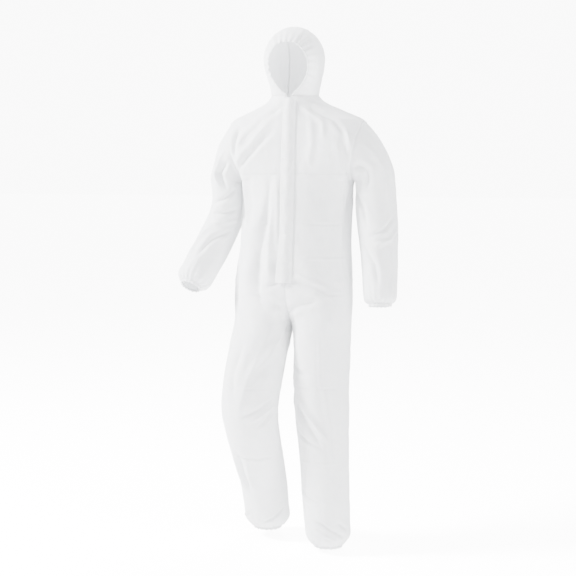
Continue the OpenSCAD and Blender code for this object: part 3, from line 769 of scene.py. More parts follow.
# Folds of the body: side, stops of (height, share of the way round), width and height
BODY_FOLDS = [
    (RIGHT, [(1190, 0.13), (1050, 0.17), (960, 0.17), (870, 0.15)], 26, -12),
    (RIGHT, [(1190, 0.085), (1060, 0.10), (950, 0.085)], 14, 4.5),
    (RIGHT, [(1500, 0.10), (1450, 0.20), (1385, 0.34)], 13, 4.5),
    (RIGHT, [(1478, 0.09), (1400, 0.21), (1330, 0.38)], 14, 4.5),
    (RIGHT, [(1450, 0.30), (1360, 0.38)], 11, -5),
    (RIGHT, [(1330, 0.43), (1230, 0.40), (1110, 0.39)], 20, -9),
    (RIGHT, [(1285, 0.33), (1190, 0.30), (1070, 0.29)], 16, 5),
    (RIGHT, [(1040, 0.36), (950, 0.38), (850, 0.36)], 18, -5),
    (RIGHT, [(1525, 0.06), (1462, 0.17), (1400, 0.30)], 10, -3.5),
    (RIGHT, [(1440, 0.08), (1372, 0.20), (1310, 0.36)], 9, -3),
    (RIGHT, [(1290, 0.10), (1200, 0.12), (1090, 0.13)], 12, -4),
    (RIGHT, [(1290, 0.06), (1180, 0.055), (1060, 0.05)], 8, 3),
    (LEFT, [(1525, 0.10), (1470, 0.16), (1415, 0.18)], 10, 3),
    (LEFT, [(1510, 0.16), (1455, 0.26), (1420, 0.33)], 9, -3.5),
    (LEFT, [(640, 0.11), (520, 0.10), (410, 0.09)], 11, -3.5),
    (LEFT, [(620, 0.30), (470, 0.33), (300, 0.34)], 9, 2.6),
    (LEFT, [(380, 0.20), (290, 0.15), (215, 0.12)], 9, -3),
    (LEFT, [(190, 0.10), (130, 0.12), (80, 0.10)], 7, -3.5),
    (RIGHT, [(720, 0.20), (610, 0.24), (500, 0.27)], 14, 2.6),
    (LEFT, [(1440, 0.32), (1385, 0.41)], 9, 4),
    (LEFT, [(1425, 0.28), (1350, 0.38), (1275, 0.44)], 12, -5),
    (LEFT, [(1490, 0.10), (1400, 0.12), (1330, 0.11)], 13, 3),
    (LEFT, [(1240, 0.45), (1160, 0.42), (1060, 0.41)], 16, -6),
    (LEFT, [(948, 0.03), (928, 0.14), (905, 0.27)], 9, -4),
    (LEFT, [(968, 0.06), (945, 0.16), (930, 0.24)], 8, 3),
    (RIGHT, [(940, 0.02), (925, 0.10)], 9, -4),
    (RIGHT, [(845, 0.02), (880, 0.10), (900, 0.20)], 12, -4.5),
    (LEFT, [(838, 0.02), (868, 0.10), (885, 0.20)], 12, -4),
    (RIGHT, [(770, 0.08), (705, 0.14), (640, 0.22)], 14, 4),
    (RIGHT, [(730, 0.30), (640, 0.33), (560, 0.31)], 14, -4),
    (RIGHT, [(548, 0.07), (518, 0.16), (490, 0.25)], 8, -5),
    (RIGHT, [(528, 0.05), (496, 0.14), (474, 0.21)], 7, 4),
    (RIGHT, [(505, 0.04), (472, 0.12), (455, 0.17)], 7, -4),
    (RIGHT, [(340, 0.10), (334, 0.24), (338, 0.37)], 6, -3),
    (RIGHT, [(345, 0.33), (270, 0.34), (195, 0.31)], 14, -9),
    (RIGHT, [(330, 0.27), (255, 0.28), (200, 0.26)], 9, 4),
    (LEFT, [(668, 0.075), (642, 0.16), (630, 0.22)], 7, -3.5),
    (LEFT, [(640, 0.075), (612, 0.15)], 7, -3.5),
    (LEFT, [(615, 0.075), (590, 0.13)], 6, 3),
    (LEFT, [(575, 0.06), (480, 0.17), (380, 0.29)], 11, -6),
    (LEFT, [(565, 0.12), (480, 0.23), (400, 0.33)], 10, 5),
    (LEFT, [(438, 0.09), (405, 0.19), (388, 0.27)], 7, -4),
    (LEFT, [(235, 0.07), (206, 0.15), (190, 0.27)], 8, -4),
    (LEFT, [(135, 0.20), (100, 0.31), (68, 0.42)], 6, -5),
    (LEFT, [(108, 0.18), (80, 0.28), (62, 0.35)], 6, 4),
    (LEFT, [(125, 0.36), (92, 0.45)], 6, -4),
    (RIGHT, [(130, 0.08), (95, 0.16), (76, 0.24)], 6, -4),
    (RIGHT, [(120, 0.34), (88, 0.42)], 6, 4),
    (LEFT, [(1180, 0.62), (1060, 0.66), (930, 0.68)], 20, -6),
    (RIGHT, [(1180, 0.64), (1060, 0.68), (930, 0.70)], 20, -6),
    (LEFT, [(900, 0.78), (850, 0.86), (800, 0.93)], 14, -5),
    (RIGHT, [(900, 0.80), (850, 0.87), (800, 0.93)], 14, -5),
    (LEFT, [(560, 0.70), (520, 0.80), (500, 0.90)], 9, -3),
    (LEFT, [(520, 0.66), (490, 0.76), (470, 0.86)], 8, 2.4),
    (RIGHT, [(575, 0.64), (530, 0.77), (508, 0.90)], 9, -4),
    (RIGHT, [(540, 0.66), (505, 0.78), (488, 0.88)], 8, 3),
    (RIGHT, [(505, 0.64), (478, 0.76), (466, 0.86)], 8, -3.5),
    (LEFT, [(1450, 0.72), (1370, 0.64), (1300, 0.57)], 12, -4),
    (RIGHT, [(1450, 0.72), (1370, 0.64), (1300, 0.57)], 12, -4.5),
    (LEFT, [(1480, 0.85), (1400, 0.82), (1320, 0.80)], 14, 2.5),
    (RIGHT, [(1490, 0.80), (1400, 0.77), (1310, 0.76)], 14, -2.5),
    (LEFT, [(1165, 0.58), (1135, 0.70), (1125, 0.84)], 10, -4),
    (RIGHT, [(1160, 0.56), (1132, 0.68), (1122, 0.82)], 10, -4),
    (LEFT, [(1125, 0.60), (1098, 0.74), (1092, 0.86)], 9, 3),
    (RIGHT, [(1100, 0.58), (1085, 0.70), (1080, 0.80)], 9, 3),
    (LEFT, [(1060, 0.62), (960, 0.70), (880, 0.82)], 12, 3.5),
    (RIGHT, [(1050, 0.64), (950, 0.74), (880, 0.85)], 12, -3.5),
    (LEFT, [(780, 0.72), (690, 0.76), (590, 0.76)], 11, -3.5),
    (RIGHT, [(790, 0.68), (700, 0.70), (620, 0.68)], 11, 3),
    (LEFT, [(700, 0.56), (560, 0.58), (430, 0.57)], 10, 3),
    (LEFT, [(430, 0.72), (330, 0.68), (240, 0.66)], 10, -3),
    (RIGHT, [(420, 0.70), (330, 0.74), (240, 0.76)], 10, -3),
    (LEFT, [(170, 0.60), (120, 0.70), (85, 0.76)], 7, -3.5),
    (RIGHT, [(170, 0.62), (130, 0.72), (100, 0.80)], 7, -3.5),
    (LEFT, [(1470, 0.66), (1400, 0.60), (1320, 0.56)], 14, 4),
    (RIGHT, [(1470, 0.66), (1400, 0.60), (1320, 0.56)], 14, 4),
]
# Shallow creases left by packing the folded suit, and the same measures
PACK_CREASES = [
    (LEFT, [(1135, 0.05), (1135, 0.43)], 4, -1.6),
    (LEFT, [(1290, 0.355), (1135, 0.36)], 4, 1.6),
    (LEFT, [(1022, 0.05), (1020, 0.42)], 4, 1.4),
    (RIGHT, [(1135, 0.05), (1135, 0.40)], 4, -1.2),
    (LEFT, [(905, 0.10), (903, 0.40)], 4, -1.4),
    (LEFT, [(760, 0.28), (590, 0.29)], 4, 1.6),
    (LEFT, [(590, 0.08), (588, 0.40)], 4, -1.6),
    (RIGHT, [(590, 0.10), (588, 0.40)], 4, -1.4),
    (LEFT, [(330, 0.08), (330, 0.42)], 4, 1.4),
    (LEFT, [(1135, 0.55), (1135, 0.97)], 4, -1.4),
    (RIGHT, [(1135, 0.55), (1135, 0.97)], 4, -1.4),
    (LEFT, [(1400, 0.80), (1000, 0.80)], 4, 1.4),
]
# Folds of the sleeves: side, stops of (row, column), width and height
SLEEVE_FOLDS = [
    (RIGHT, [(2, 24), (7, 23), (14, 26)], 11, -9),
    (RIGHT, [(3, 31), (8, 29), (13, 32)], 10, -8),
    (RIGHT, [(3, 28), (9, 27), (12, 29)], 8, 5),
    (RIGHT, [(13, 36), (16, 31), (18, 26)], 8, -4.5),
    (RIGHT, [(18, 37), (21, 31), (22, 26)], 8, -5),
    (RIGHT, [(21, 37), (24, 32), (25, 28)], 8, 4),
    (RIGHT, [(25, 36), (31, 31), (37, 29)], 9, -4),
    (RIGHT, [(27, 28), (33, 25), (38, 25)], 9, 3.5),
    (RIGHT, [(20, 5), (22, 10), (23, 15)], 10, -5),
    (LEFT, [(1, 33), (6, 30), (12, 31)], 11, -6),
    (LEFT, [(1, 27), (7, 25), (14, 25)], 11, 4),
    (LEFT, [(12, 37), (17, 33), (22, 32)], 10, -5),
    (LEFT, [(20, 22), (24, 26), (26, 31)], 8, -4),
    (LEFT, [(23, 20), (27, 24), (29, 30)], 8, 3.5),
    (LEFT, [(28, 34), (34, 30), (40, 29)], 10, -4),
    (LEFT, [(30, 24), (38, 23), (43, 24)], 9, 3),
    (LEFT, [(20, 5), (23, 10), (24, 15)], 10, -5),
]
lift = np.zeros(len(fine.points))
for side, stops, width, height in BODY_FOLDS + PACK_CREASES:
    press_fold(lift, suit_path(side, stops), width, height)
for side, stops, width, height in SLEEVE_FOLDS:
    press_fold(lift, sleeve_path(side, stops), width, height)


def crinkle(p):
    """Faint random crumpling of the stiff fabric, in millimetres."""
    x, y, z = p
    broad = noise.noise(Vector((x, y, z * 0.45)) / 70) * 1.8
    facets = abs(noise.noise(Vector((x, y, z * 0.6)) / 34 + Vector((3, 7, 1)))) * -1.7
    small = abs(noise.noise(Vector((x + z * 0.5, y, z * 0.8)) / 13)) * -0.5
    return broad + facets + small


lift += np.array([crinkle(p) for p in fine.points])

gathers = {n: np.zeros(g.shape[:2]) for n, g in rest_grids.items()}
WRIST_PLEATS, ANKLE_PLEATS = 17, 19


def gather_depth(d, reach):
    """Depth of the pleats at a distance from the elastic, a little less at the hem itself."""
    return 3.6 * math.exp(-d / reach) * (0.3 + 0.7 * smoothstep(d / 14))


def pleats(turn, count, seed):
    """Uneven pleats round an elastic, -1 to 1, at a turn from 0 to 1."""
    angle = 2 * math.pi * turn
    drift = 0.9 * math.sin(angle + seed) + 0.5 * math.sin(3 * angle + 2 * seed)
    return math.cos(count * angle + drift) * (0.75 + 0.25 * math.sin(5 * angle + seed))


def gather_rows(name, distances, reach, first_turn, turns, count, seed):
    """Pleats the rows of a sheet, which lie at these distances from the elastic."""
    columns = rest_grids[name].shape[1]
    for i, d in enumerate(distances):
        for j in range(columns):
            turn = first_turn + turns * j / (columns - 1)
            gathers[name][i, j] += gather_depth(d, reach) * pleats(turn, count, seed)


WRIST_SEED, ANKLE_SEED = 1.3, 2.1
for side, word in enumerate(SIDE_NAME):
    lengths = np.linalg.norm(np.diff(rest_grids[f"sleeve_{word}"][:, 0], axis=0), axis=1)
    from_wrist = np.append(lengths[::-1].cumsum()[::-1], 0)
    gather_rows(f"sleeve_{word}", from_wrist, 38, 0, 1, WRIST_PLEATS, WRIST_SEED + side)
    for name, first_turn in ((f"front_{word}", 0), (f"back_{word}", 0.5)):
        up = rest_grids[name][: 24 * FINE, 0, 2] - rest_grids[name][0, 0, 2]
        gather_rows(name, up, 42, first_turn, 0.5, ANKLE_PLEATS, ANKLE_SEED + side)


def hood_pleat(p):
    """Radial gathers that run back from the elastic of the face opening."""
    if p[1] > 20:
        return 0.0
    dx, dz = p[0] / (FACE_HALF_W + 7), (p[2] - FACE_MID) / (FACE_TOP + 7 - FACE_MID)
    if dz < 0:
        dz = (p[2] - FACE_MID) / (FACE_MID - CHIN)
    out = (math.hypot(dx, dz) - 1) * 66 + max(0.0, p[1] + 95) * 0.5
    turn = math.atan2(dx, dz) / (2 * math.pi) + 0.5
    strength = 2.4 * math.exp(-max(out, 0) / 30) * (0.35 if dz < -0.5 else 1)
    return strength * pleats(turn, 27, 0.7)


for name in ("hood_left", "hood_right", "hood_centre"):
    rest = rest_grids[name]
    for i in range(rest.shape[0]):
        for j in range(rest.shape[1]):
            gathers[name][i, j] += hood_pleat(rest[i, j])

gathered = np.zeros(len(fine.points))
for name, g in gathers.items():
    gathered[fine.ids[name]] = g

# The edges that meet other pieces keep their place
EDGE_HOLD = (0, 0.05, 0.15, 0.3, 0.5, 0.7, 0.9)
hold = np.ones(len(fine.points))
for side in SIDE_NAME:
    held_edges = []
    for part in ("front", "back"):
        ids = fine.ids[f"{part}_{side}"]
        edge = ids[:, ::-1] if part == "front" else ids
        at_armhole = np.abs(fine.points[edge[:, 0]][:, 2] - ARMHOLE[2]) < ARMHOLE_RISE + 1
        held_edges += [edge[at_armhole].T, ids[::-1]]
        if part == "front":
            beside_zip = fine.points[ids[:, 0]][:, 2] > FRONTS_PART + 5
            held_edges.append(ids[beside_zip].T)
    held_edges += [fine.ids[f"sleeve_{side}"], fine.ids[f"hood_{side}"]]
    held_edges.append(fine.ids["hood_centre"][::-1])
    for lines in held_edges:
        for line, keep in zip(lines, EDGE_HOLD):
            hold[line] = np.minimum(hold[line], keep)
# The hips run smoothly into the legs
HIP, HIP_REACH = 815, 45
at_hip = np.exp(-(((fine.points[:, 2] - HIP) / HIP_REACH) ** 2)) * (np.abs(fine.points[:, 0]) > 25)
shape += at_hip[:, None] * (broad_part(fine, shape, 50) - shape)
shape_normals = normals_of(fine, shape)
shape = shape + shape_normals * (lift * hold + gathered)[:, None]
shape_normals = normals_of(fine, shape)
final = {n: shape[fine.ids[n]] for n in rest_grids}
final_normals = {n: shape_normals[fine.ids[n]] for n in rest_grids}


# ---- Pieces ----

for name in ("Cube", "Light", "Camera"):
    if name in bpy.data.objects:
        bpy.data.objects.remove(bpy.data.objects[name], do_unlink=True)


def smooth_mesh(name, points, faces):
    obj = new_mesh(name, points, faces)
    obj.data.shade_smooth()
    return obj


def closed_mesh(name, points, inner, faces):
    """A thin closed solid: faces over points, the same faces reversed over inner, and a rim."""
    count = len(points)
    once = {}
    for face in faces:
        for a, b in zip(face, face[1:] + face[:1]):
            if (b, a) in once:
                del once[b, a]
            else:
                once[a, b] = True
    solid = list(faces) + [[v + count for v in reversed(f)] for f in faces]
    solid += [[b, a, a + count, b + count] for a, b in once]
    return smooth_mesh(name, np.concatenate([points, inner]), solid)


def shell(name, grid, normals, thickness, flip=False):
    """A piece of cloth on a grid, with its thickness going inwards."""
    points, out = grid.reshape(-1, 3), normals.reshape(-1, 3)
    first, back = joined(points)
    points, out = points[first], out[first]
    faces = sheet_faces(back.reshape(grid.shape[:2]), flip)
    return closed_mesh(name, points, points - out * thickness, faces)


def resampled(points, normals, step, closed=False):
    """A path and its normals at even steps, and how far along it each step is."""
    if closed:
        points = np.concatenate([points, points[:1]])
        normals = np.concatenate([normals, normals[:1]])
    reach = np.append(0, np.linalg.norm(np.diff(points, axis=0), axis=1).cumsum())
    count = max(3, round(reach[-1] / step))
    at = np.linspace(0, reach[-1], count + 1)
    if closed:
        at = at[:-1]
    p = np.stack([np.interp(at, reach, points[:, k]) for k in range(3)], axis=1)
    n = np.stack([np.interp(at, reach, normals[:, k]) for k in range(3)], axis=1)
    return p, unit(n), at


def tube_faces(count, corners, closed):
    """Faces between rings of corners, and round from the last ring to the first if closed."""
    faces = []
    for i in range(count if closed else count - 1):
        after = (i + 1) % count
        for k in range(corners):
            m = (k + 1) % corners
            here, there = i * corners, after * corners
            faces.append([here + k, there + k, there + m, here + m])
    return faces


def facing_out(points, faces, corners):
    """A tube's faces, turned so that they look away from the middle of its first ring."""
    middle = points[:corners].mean(axis=0)
    total = 0.0
    for f in faces[:corners]:
        a, b, c = (points[k] for k in f[:3])
        total += np.cross(b - a, c - a) @ (a - middle)
    return faces if total > 0 else [f[::-1] for f in faces]


def sweep(path, out, section, closed=False):
    """Points and faces of a bar along a path; section has (across, out) by place and corner."""
    count, corners = section.shape[:2]
    if closed:
        along = np.roll(path, -1, axis=0) - np.roll(path, 1, axis=0)
    else:
        along = np.gradient(path, axis=0)
    across = np.cross(unit(along), out)
    points = (
        path[:, None] + across[:, None] * section[..., :1] + out[:, None] * section[..., 1:]
    ).reshape(-1, 3)
    faces = tube_faces(count, corners, closed)
    if not closed:
        faces.append(list(range(corners)))
        faces.append([(count - 1) * corners + k for k in reversed(range(corners))])
    return points, faces


def bar(name, path, out, section):
    """An open sweep as an object whose faces look outwards."""
    points, faces = sweep(path, out, section)
    return smooth_mesh(name, points, facing_out(points, faces, section.shape[1]))


SEAM_PROFILE = np.array([
    (-1.5, -0.5), (-1.3, 0.25), (-0.5, 0.75), (0.5, 0.75), (1.3, 0.25), (1.5, -0.5),
])
SEAM_STEP, STITCH_PITCH = 0.9, 2.8
# One stitch: places along it as shares of its length, height and share of its width
STITCH = [(-0.5, -0.15, 0.5), (-0.3, 0.38, 1), (0.3, 0.38, 1), (0.5, -0.15, 0.5)]
STITCH_DEPTH = 0.3


def seam(name, points, normals, closed=False, scale=1.0):
    """An overlocked seam: a low ridge with the bumps of its thread."""
    path, out, at = resampled(points, normals, SEAM_STEP, closed)
    bump = 1 + 0.28 * np.sin(2 * math.pi * at / STITCH_PITCH)
    section = SEAM_PROFILE[None] * scale * np.stack([0.92 + 0.08 * bump, bump], axis=1)[:, None]
    return smooth_mesh(name, *sweep(path, out, section, closed))


def stitches(name, points, normals, closed=False, pitch=3.6, length=2.5, width=0.55):
    """A row of separate stitches, each a short thread that dips into the cloth at its ends."""
    path, out, _ = resampled(points, normals, pitch, closed)
    along = unit(np.gradient(path, axis=0))
    one_stitch = tube_faces(len(STITCH), 4, False) + [[0, 1, 2, 3], [15, 14, 13, 12]]
    all_points, faces = [], []
    for p, a, c, o in zip(path, along, np.cross(along, out), out):
        faces += [[len(all_points) + k for k in face] for face in one_stitch]
        for t, high, share in STITCH:
            centre, half, low = p + a * length * t, c * share * width / 2, o * STITCH_DEPTH
            all_points += [
                centre - half - low, centre - half + o * high,
                centre + half + o * high, centre + half - low,
            ]
    return smooth_mesh(name, all_points, faces)


# For each side of the suit, the points that pieces lie on and a tree that finds the nearest
FINE_NEAR = {}
for side, word in enumerate(SIDE_NAME):
    names = (f"front_{word}", f"back_{word}", f"hood_{word}", "hood_centre")
    near = np.unique(np.concatenate([fine.ids[n].ravel() for n in names]))
    tree = kdtree.KDTree(len(near))
    for i, k in enumerate(near):
        tree.insert(fine.points[k], i)
    tree.balance()
    FINE_NEAR[side] = (near, tree)


def draped(points, sides, out=0.0):
    """The place on the finished cloth of points of its unslackened shape, and its normals."""
    grid = np.asarray(points, float)
    flat = grid.reshape(-1, 3)
    placed, normals = np.empty_like(flat), np.empty_like(flat)
    for i, p in enumerate(flat):
        side = sides if isinstance(sides, int) else (RIGHT if p[0] < 0 else LEFT)
        near, tree = FINE_NEAR[side]
        found = tree.find_n(p, 4)
        w = np.array([1 / (f[2] ** 2 + 0.3) for f in found])
        ids = near[[f[1] for f in found]]
        w /= w.sum()
        n = w @ shape_normals[ids]
        normals[i] = n / max(np.linalg.norm(n), 1e-9)
        placed[i] = p + w @ (shape[ids] - fine.points[ids]) + normals[i] * out
    return placed.reshape(grid.shape), normals.reshape(grid.shape)


WIDTH_EASE, LENGTH_EASE = 1.03, 1.01  # how much larger the flat cloth is than the pattern


def flat_of(name, rows=slice(None)):
    """Width, length and area in metres of the sheet before it was sewn up."""
    g = rest_grids[name][rows]
    wide = np.linalg.norm(np.diff(g, axis=1), axis=2).sum(axis=1).max()
    long = np.linalg.norm(np.diff(g, axis=0), axis=2).sum(axis=0).max()
    cells = np.cross(g[1:, 1:] - g[:-1, :-1], g[1:, :-1] - g[:-1, 1:])
    area = np.linalg.norm(cells, axis=2).sum() / 2
    flat = (WIDTH_EASE * wide / 1000, LENGTH_EASE * long / 1000)
    return flat, min(WIDTH_EASE * area / 1e6, flat[0] * flat[1])


YOKE_ROW = FINE * [r[0] for r in body_rows(LEFT)].index(CHEST_SEAM)
CROTCH_ROW = FINE * [r[0] for r in body_rows(LEFT)].index(CROTCH)
slots = {}


def put_on(obj, body, slot="suit_fabric", *nodes):
    """Sets an object's body, material slot and the CAD nodes that it stands for."""
    if body == "neck":
        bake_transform(obj)
    else:
        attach(obj, body)
    slots[obj.name] = slot
    if nodes:
        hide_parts(*nodes)
    return obj


def panel(name, sheet, body, node, rows=slice(None)):
    """A panel of the suit: all of a finished sheet, or some of its rows."""
    obj = shell(name, final[sheet][rows], final_normals[sheet][rows], FABRIC, FLIPPED[sheet])
    put_on(obj, body, "suit_fabric", node)


def line_on(sheet, cut):
    """Points and normals along one line of a finished sheet."""
    return final[sheet][cut], final_normals[sheet][cut]


def lines_on(*cuts):
    """Points and normals along several lines, one after another."""
    return [np.concatenate(parts) for parts in zip(*(line_on(*cut) for cut in cuts))]


for word in SIDE_NAME:
    front = f"front_{word}"
    panel(f"yoke_{word}", front, "suit", f"front_yoke_{word}", slice(YOKE_ROW, None))
    panel(front, front, "suit", f"front_panel_{word}", slice(None, YOKE_ROW + 1))
    panel(f"back_{word}", f"back_{word}", "suit", f"back_panel_{word}")
    panel(f"arm_cloth_{word}", f"sleeve_{word}", f"{word}_arm", f"sleeve_{word}")
    panel(f"hood_side_{word}", f"hood_{word}", "neck", f"hood_{word}_panel")
panel("hood_top", "hood_centre", "neck", "hood_centre_panel")

# Gusset: four lobes laid over the panels' inner edges
GUSSET = [(700, 0.003), (735, 0.09), (CROTCH, 0.055), (865, 0.003)]  # height, share of the way
GUSSET_STEPS = 6
gusset_points, gusset_faces, gusset_inner = [], [], []
gusset_heights = np.concatenate([np.linspace(701, CROTCH, 15), np.linspace(812, 864, 8)])
for side, word in enumerate(SIDE_NAME):
    for part in ("front", "back"):
        lobe = np.empty((len(gusset_heights), GUSSET_STEPS + 1, 3))
        for i, h in enumerate(gusset_heights):
            share = np.interp(h, *zip(*GUSSET))
            for j in range(GUSSET_STEPS + 1):
                s = share * j / GUSSET_STEPS
                lobe[i, j] = body_point(side, h, 1 - share + s if part == "back" else s)
        placed, out = draped(lobe, side, 0.55)
        rim = 0 if part == "back" else -1
        put_on(seam(f"gusset_seam_{word}_{part}", placed[:, rim], out[:, rim]), "suit")
        ids = len(gusset_points) + np.arange(lobe[..., 0].size).reshape(lobe.shape[:2])
        gusset_faces += sheet_faces(ids, side == RIGHT)
        gusset_points += list(placed.reshape(-1, 3))
        gusset_inner += list((placed - out * FABRIC).reshape(-1, 3))
gusset = closed_mesh("gusset", np.array(gusset_points), np.array(gusset_inner), gusset_faces)
put_on(gusset, "suit", "suit_fabric", "crotch_gusset")

# Seams that follow the edges of the panels
for word in SIDE_NAME:
    front = f"front_{word}"
    side_rows = rest_grids[front][:, -1, 2]
    low, high = np.searchsorted(side_rows, 1280), np.searchsorted(side_rows, SHOULDER_TIP)
    put_on(seam(f"inseam_{word}", *line_on(front, np.s_[:CROTCH_ROW, 0])), "suit")
    put_on(seam(f"side_seam_{word}", *line_on(front, np.s_[:low, -1])), "suit")
    put_on(seam(f"shoulder_seam_{word}", *line_on(front, np.s_[high:, -1])), "suit")
    put_on(seam(f"chest_seam_{word}", *line_on(front, np.s_[YOKE_ROW, 3:]), scale=1.25), "suit")
    put_on(stitches(f"chest_stitches_{word}", *line_on(front, np.s_[YOKE_ROW + 1, 3:])), "suit")
    first_ring = line_on(f"sleeve_{word}", np.s_[0, :-1])
    put_on(seam(f"armhole_seam_{word}", *first_ring, closed=True, scale=1.3), "suit")
    put_on(seam(f"sleeve_seam_{word}", *line_on(f"sleeve_{word}", np.s_[:, 0])), f"{word}_arm")
    put_on(seam(f"hood_seam_{word}", *line_on(f"hood_{word}", np.s_[:, -1]), scale=1.1), "neck")
    put_on(stitches(f"hood_stitches_{word}", *line_on(f"hood_{word}", np.s_[2:, -2])), "neck")
zip_end = np.searchsorted(rest_grids["front_left"][:, 0, 2], FRONTS_PART + 4)
put_on(seam("centre_front_seam", *line_on("front_left", np.s_[CROTCH_ROW:zip_end, 0])), "suit")
put_on(seam("centre_back_seam", *line_on("back_left", np.s_[CROTCH_ROW:, -1])), "suit")
neck_path, neck_out = lines_on(
    ("front_left", np.s_[-1, :-1]), ("back_left", np.s_[-1, :-1]),
    ("back_right", np.s_[-1, :0:-1]), ("front_right", np.s_[-1, ::-1]),
)
for number, drop in enumerate((0.0, 5.5)):
    put_on(seam(f"neck_seam_{number}", neck_path - (0, 0, drop), neck_out, scale=1.2), "suit")


# ---- Hems and elastics ----


def ring_band(name, path, centre, down, section):
    """A band round a ring; section lists (how far out, how far down) from each point."""
    radial = path - centre
    radial = unit(radial - (radial @ down)[:, None] * down)
    points = (
        path[:, None] + radial[:, None] * section[..., :1] + down * section[..., 1:]
    ).reshape(-1, 3)
    count, corners = section.shape[:2]
    return smooth_mesh(name, points, facing_out(points, tube_faces(count, corners, True), corners))


# Cross-sections of a hem and of the elastic in it: outwards from the cloth's edge, and down
HEM_SECTION = np.array([
    (0.2, -1.2), (0.9, 0.4), (1.1, 4.5), (0.7, 8.2), (-0.4, 9.0), (-1.6, 8.8), (-2.2, 7.6),
    (-2.3, 4.5), (-2.2, 0.6), (-1.4, -1.2),
])
BAND_SECTION = np.array([(-1.9, 1.6), (-1.9, 7.2), (-3.1, 7.2), (-3.1, 1.6)])
HEM_STEP, RIB_PITCH = 0.8, 2.4


def gathered_end(word, where, path, down, count, body, seed):
    """Folded hem at a wrist or ankle, with its stitches and the ribbed elastic inside."""
    centre = path.mean(axis=0)
    path, _, at = resampled(path, path - centre, HEM_STEP, closed=True)
    turn = at / (at[-1] + at[1])
    puff = np.array([pleats(t, count, seed) for t in turn])
    section = np.repeat(HEM_SECTION[None], len(path), axis=0)
    section[..., 0] += 0.35 * puff[:, None] * (HEM_SECTION[:, 1] > 0)
    section[..., 1] += 0.3 * puff[:, None] * (HEM_SECTION[:, 1] / 9)
    hem = ring_band(f"{where}_hem_band_{word}", path, centre, down, section)
    put_on(hem, body, "suit_fabric", f"{where}_hem_{word}")
    rib = 0.28 * np.sin(2 * math.pi * at / RIB_PITCH)
    band = np.repeat(BAND_SECTION[None], len(path), axis=0)
    band[:, 2:, 0] += rib[:, None]
    elastic = ring_band(f"{where}_elastic_band_{word}", path, centre, down, band)
    put_on(elastic, body, "elastic", f"{where}_elastic_{word}")
    row = path + unit(path - centre) + down * 1.6
    thread = stitches(f"{where}_stitches_{word}", row, path - centre, closed=True)
    put_on(thread, body)
    return hem, elastic, thread


FLOOR_WARD = np.array((0, 0, -1.0))
for side, word in enumerate(SIDE_NAME):
    cuff = final[f"sleeve_{word}"][-1, :-1]
    arm_end = mirrored(side, sleeve_rings(side)[-1][1])
    gathered_end(
        word, "wrist", cuff, arm_end, WRIST_PLEATS, f"{word}_arm", WRIST_SEED + side
    )
    cuff = np.concatenate([final[f"front_{word}"][0, :-1], final[f"back_{word}"][0, :-1]])
    gathered_end(
        word, "ankle", cuff, FLOOR_WARD, ANKLE_PLEATS, "suit", ANKLE_SEED + side
    )

# Folded hem round the face, and the elastic inside it
edge_rows = rest_grids["hood_left"][:, 0, 2] <= FACE_MID
edge_rows |= rest_grids["hood_left"][:, 0, 0] > CENTRE_HALF_W + 0.05
last = np.where(edge_rows)[0][-1]
face_path, face_out, at = resampled(*lines_on(
    ("hood_left", np.s_[: last + 1, 0]), ("hood_centre", np.s_[0, ::-1]),
    ("hood_right", np.s_[last::-1, 0]),
), HEM_STEP)
FACE_SECTION = np.array([
    (-3.4, -0.1), (-3.0, 0.9), (-1.0, 1.5), (1.4, 1.3), (2.5, 0.2), (2.3, -1.2), (0.8, -2.0),
    (-1.6, -1.8), (-3.2, -1.0),
])
away = np.cross(np.gradient(face_path, axis=0), face_out)
in_the_face = np.array((0, -120, FACE_MID))
toward = 1.0 if np.sum(away * (in_the_face - face_path)) > 0 else -1.0
puff = np.cos(2 * math.pi * at / 12.5 + np.sin(at / 23)) * 0.5
section = np.repeat(FACE_SECTION[None], len(face_path), axis=0) * (toward, 1)
section += puff[:, None, None] * (0.5, 0.7)
face_band = bar("face_band", face_path, face_out, section)
put_on(face_band, "neck", "suit_fabric", "face_hem")
turns = np.linspace(0, 2 * math.pi, 9)[:-1]
ribs = 1.1 + 0.14 * np.sin(2 * math.pi * at[:, None] / RIB_PITCH)
section = np.stack([toward * 0.6 + ribs * np.cos(turns), -2.0 + ribs * 0.8 * np.sin(turns)], axis=2)
face_elastic = bar("face_elastic_band", face_path, face_out, section)
put_on(face_elastic, "neck", "elastic", "face_elastic")
thread_path = face_path - unit(away) * toward * 1.4 + face_out * 1.25
put_on(stitches("face_stitches", thread_path, face_out), "neck")

# Waist elastic and neck label, inside the back
heights = np.linspace(1112, 1124, 7)
shares = np.linspace(0.62, 1, 240)
left = np.array([[body_point(LEFT, h, s) for s in shares] for h in heights])
right = np.array([[body_point(RIGHT, h, s) for s in shares[::-1][1:]] for h in heights])
placed, out = draped(np.concatenate([left, right], axis=1), None, -FABRIC - 1.0)
placed = placed - out * 0.25 * np.sin(np.arange(placed.shape[1]) * math.pi / 2)[None, :, None]
waist = shell("waist_band", placed, out, 1.0)
put_on(waist, "suit", "elastic", "waist_elastic")
rows = []
for h in np.linspace(1518, 1548, 9):
    rows.append([
        body_point(LEFT if x >= 0 else RIGHT, h, 1 - arc_share(LEFT, h, abs(x)))
        for x in np.linspace(22, -22, 13)
    ])
placed, out = draped(rows, None, -FABRIC - 0.7)
label = shell("woven_label", placed, out, 0.5)
put_on(label, "suit", "label", "neck_label")


# ---- Zip and storm flap ----

ZIP_LEAN = math.atan(FRONT_LEAN)
ZIP_LENGTH = 604.2
FLAP_HINGE, FLAP_FREE, FLAP_LOW = 24.0, -22.0, -616.0


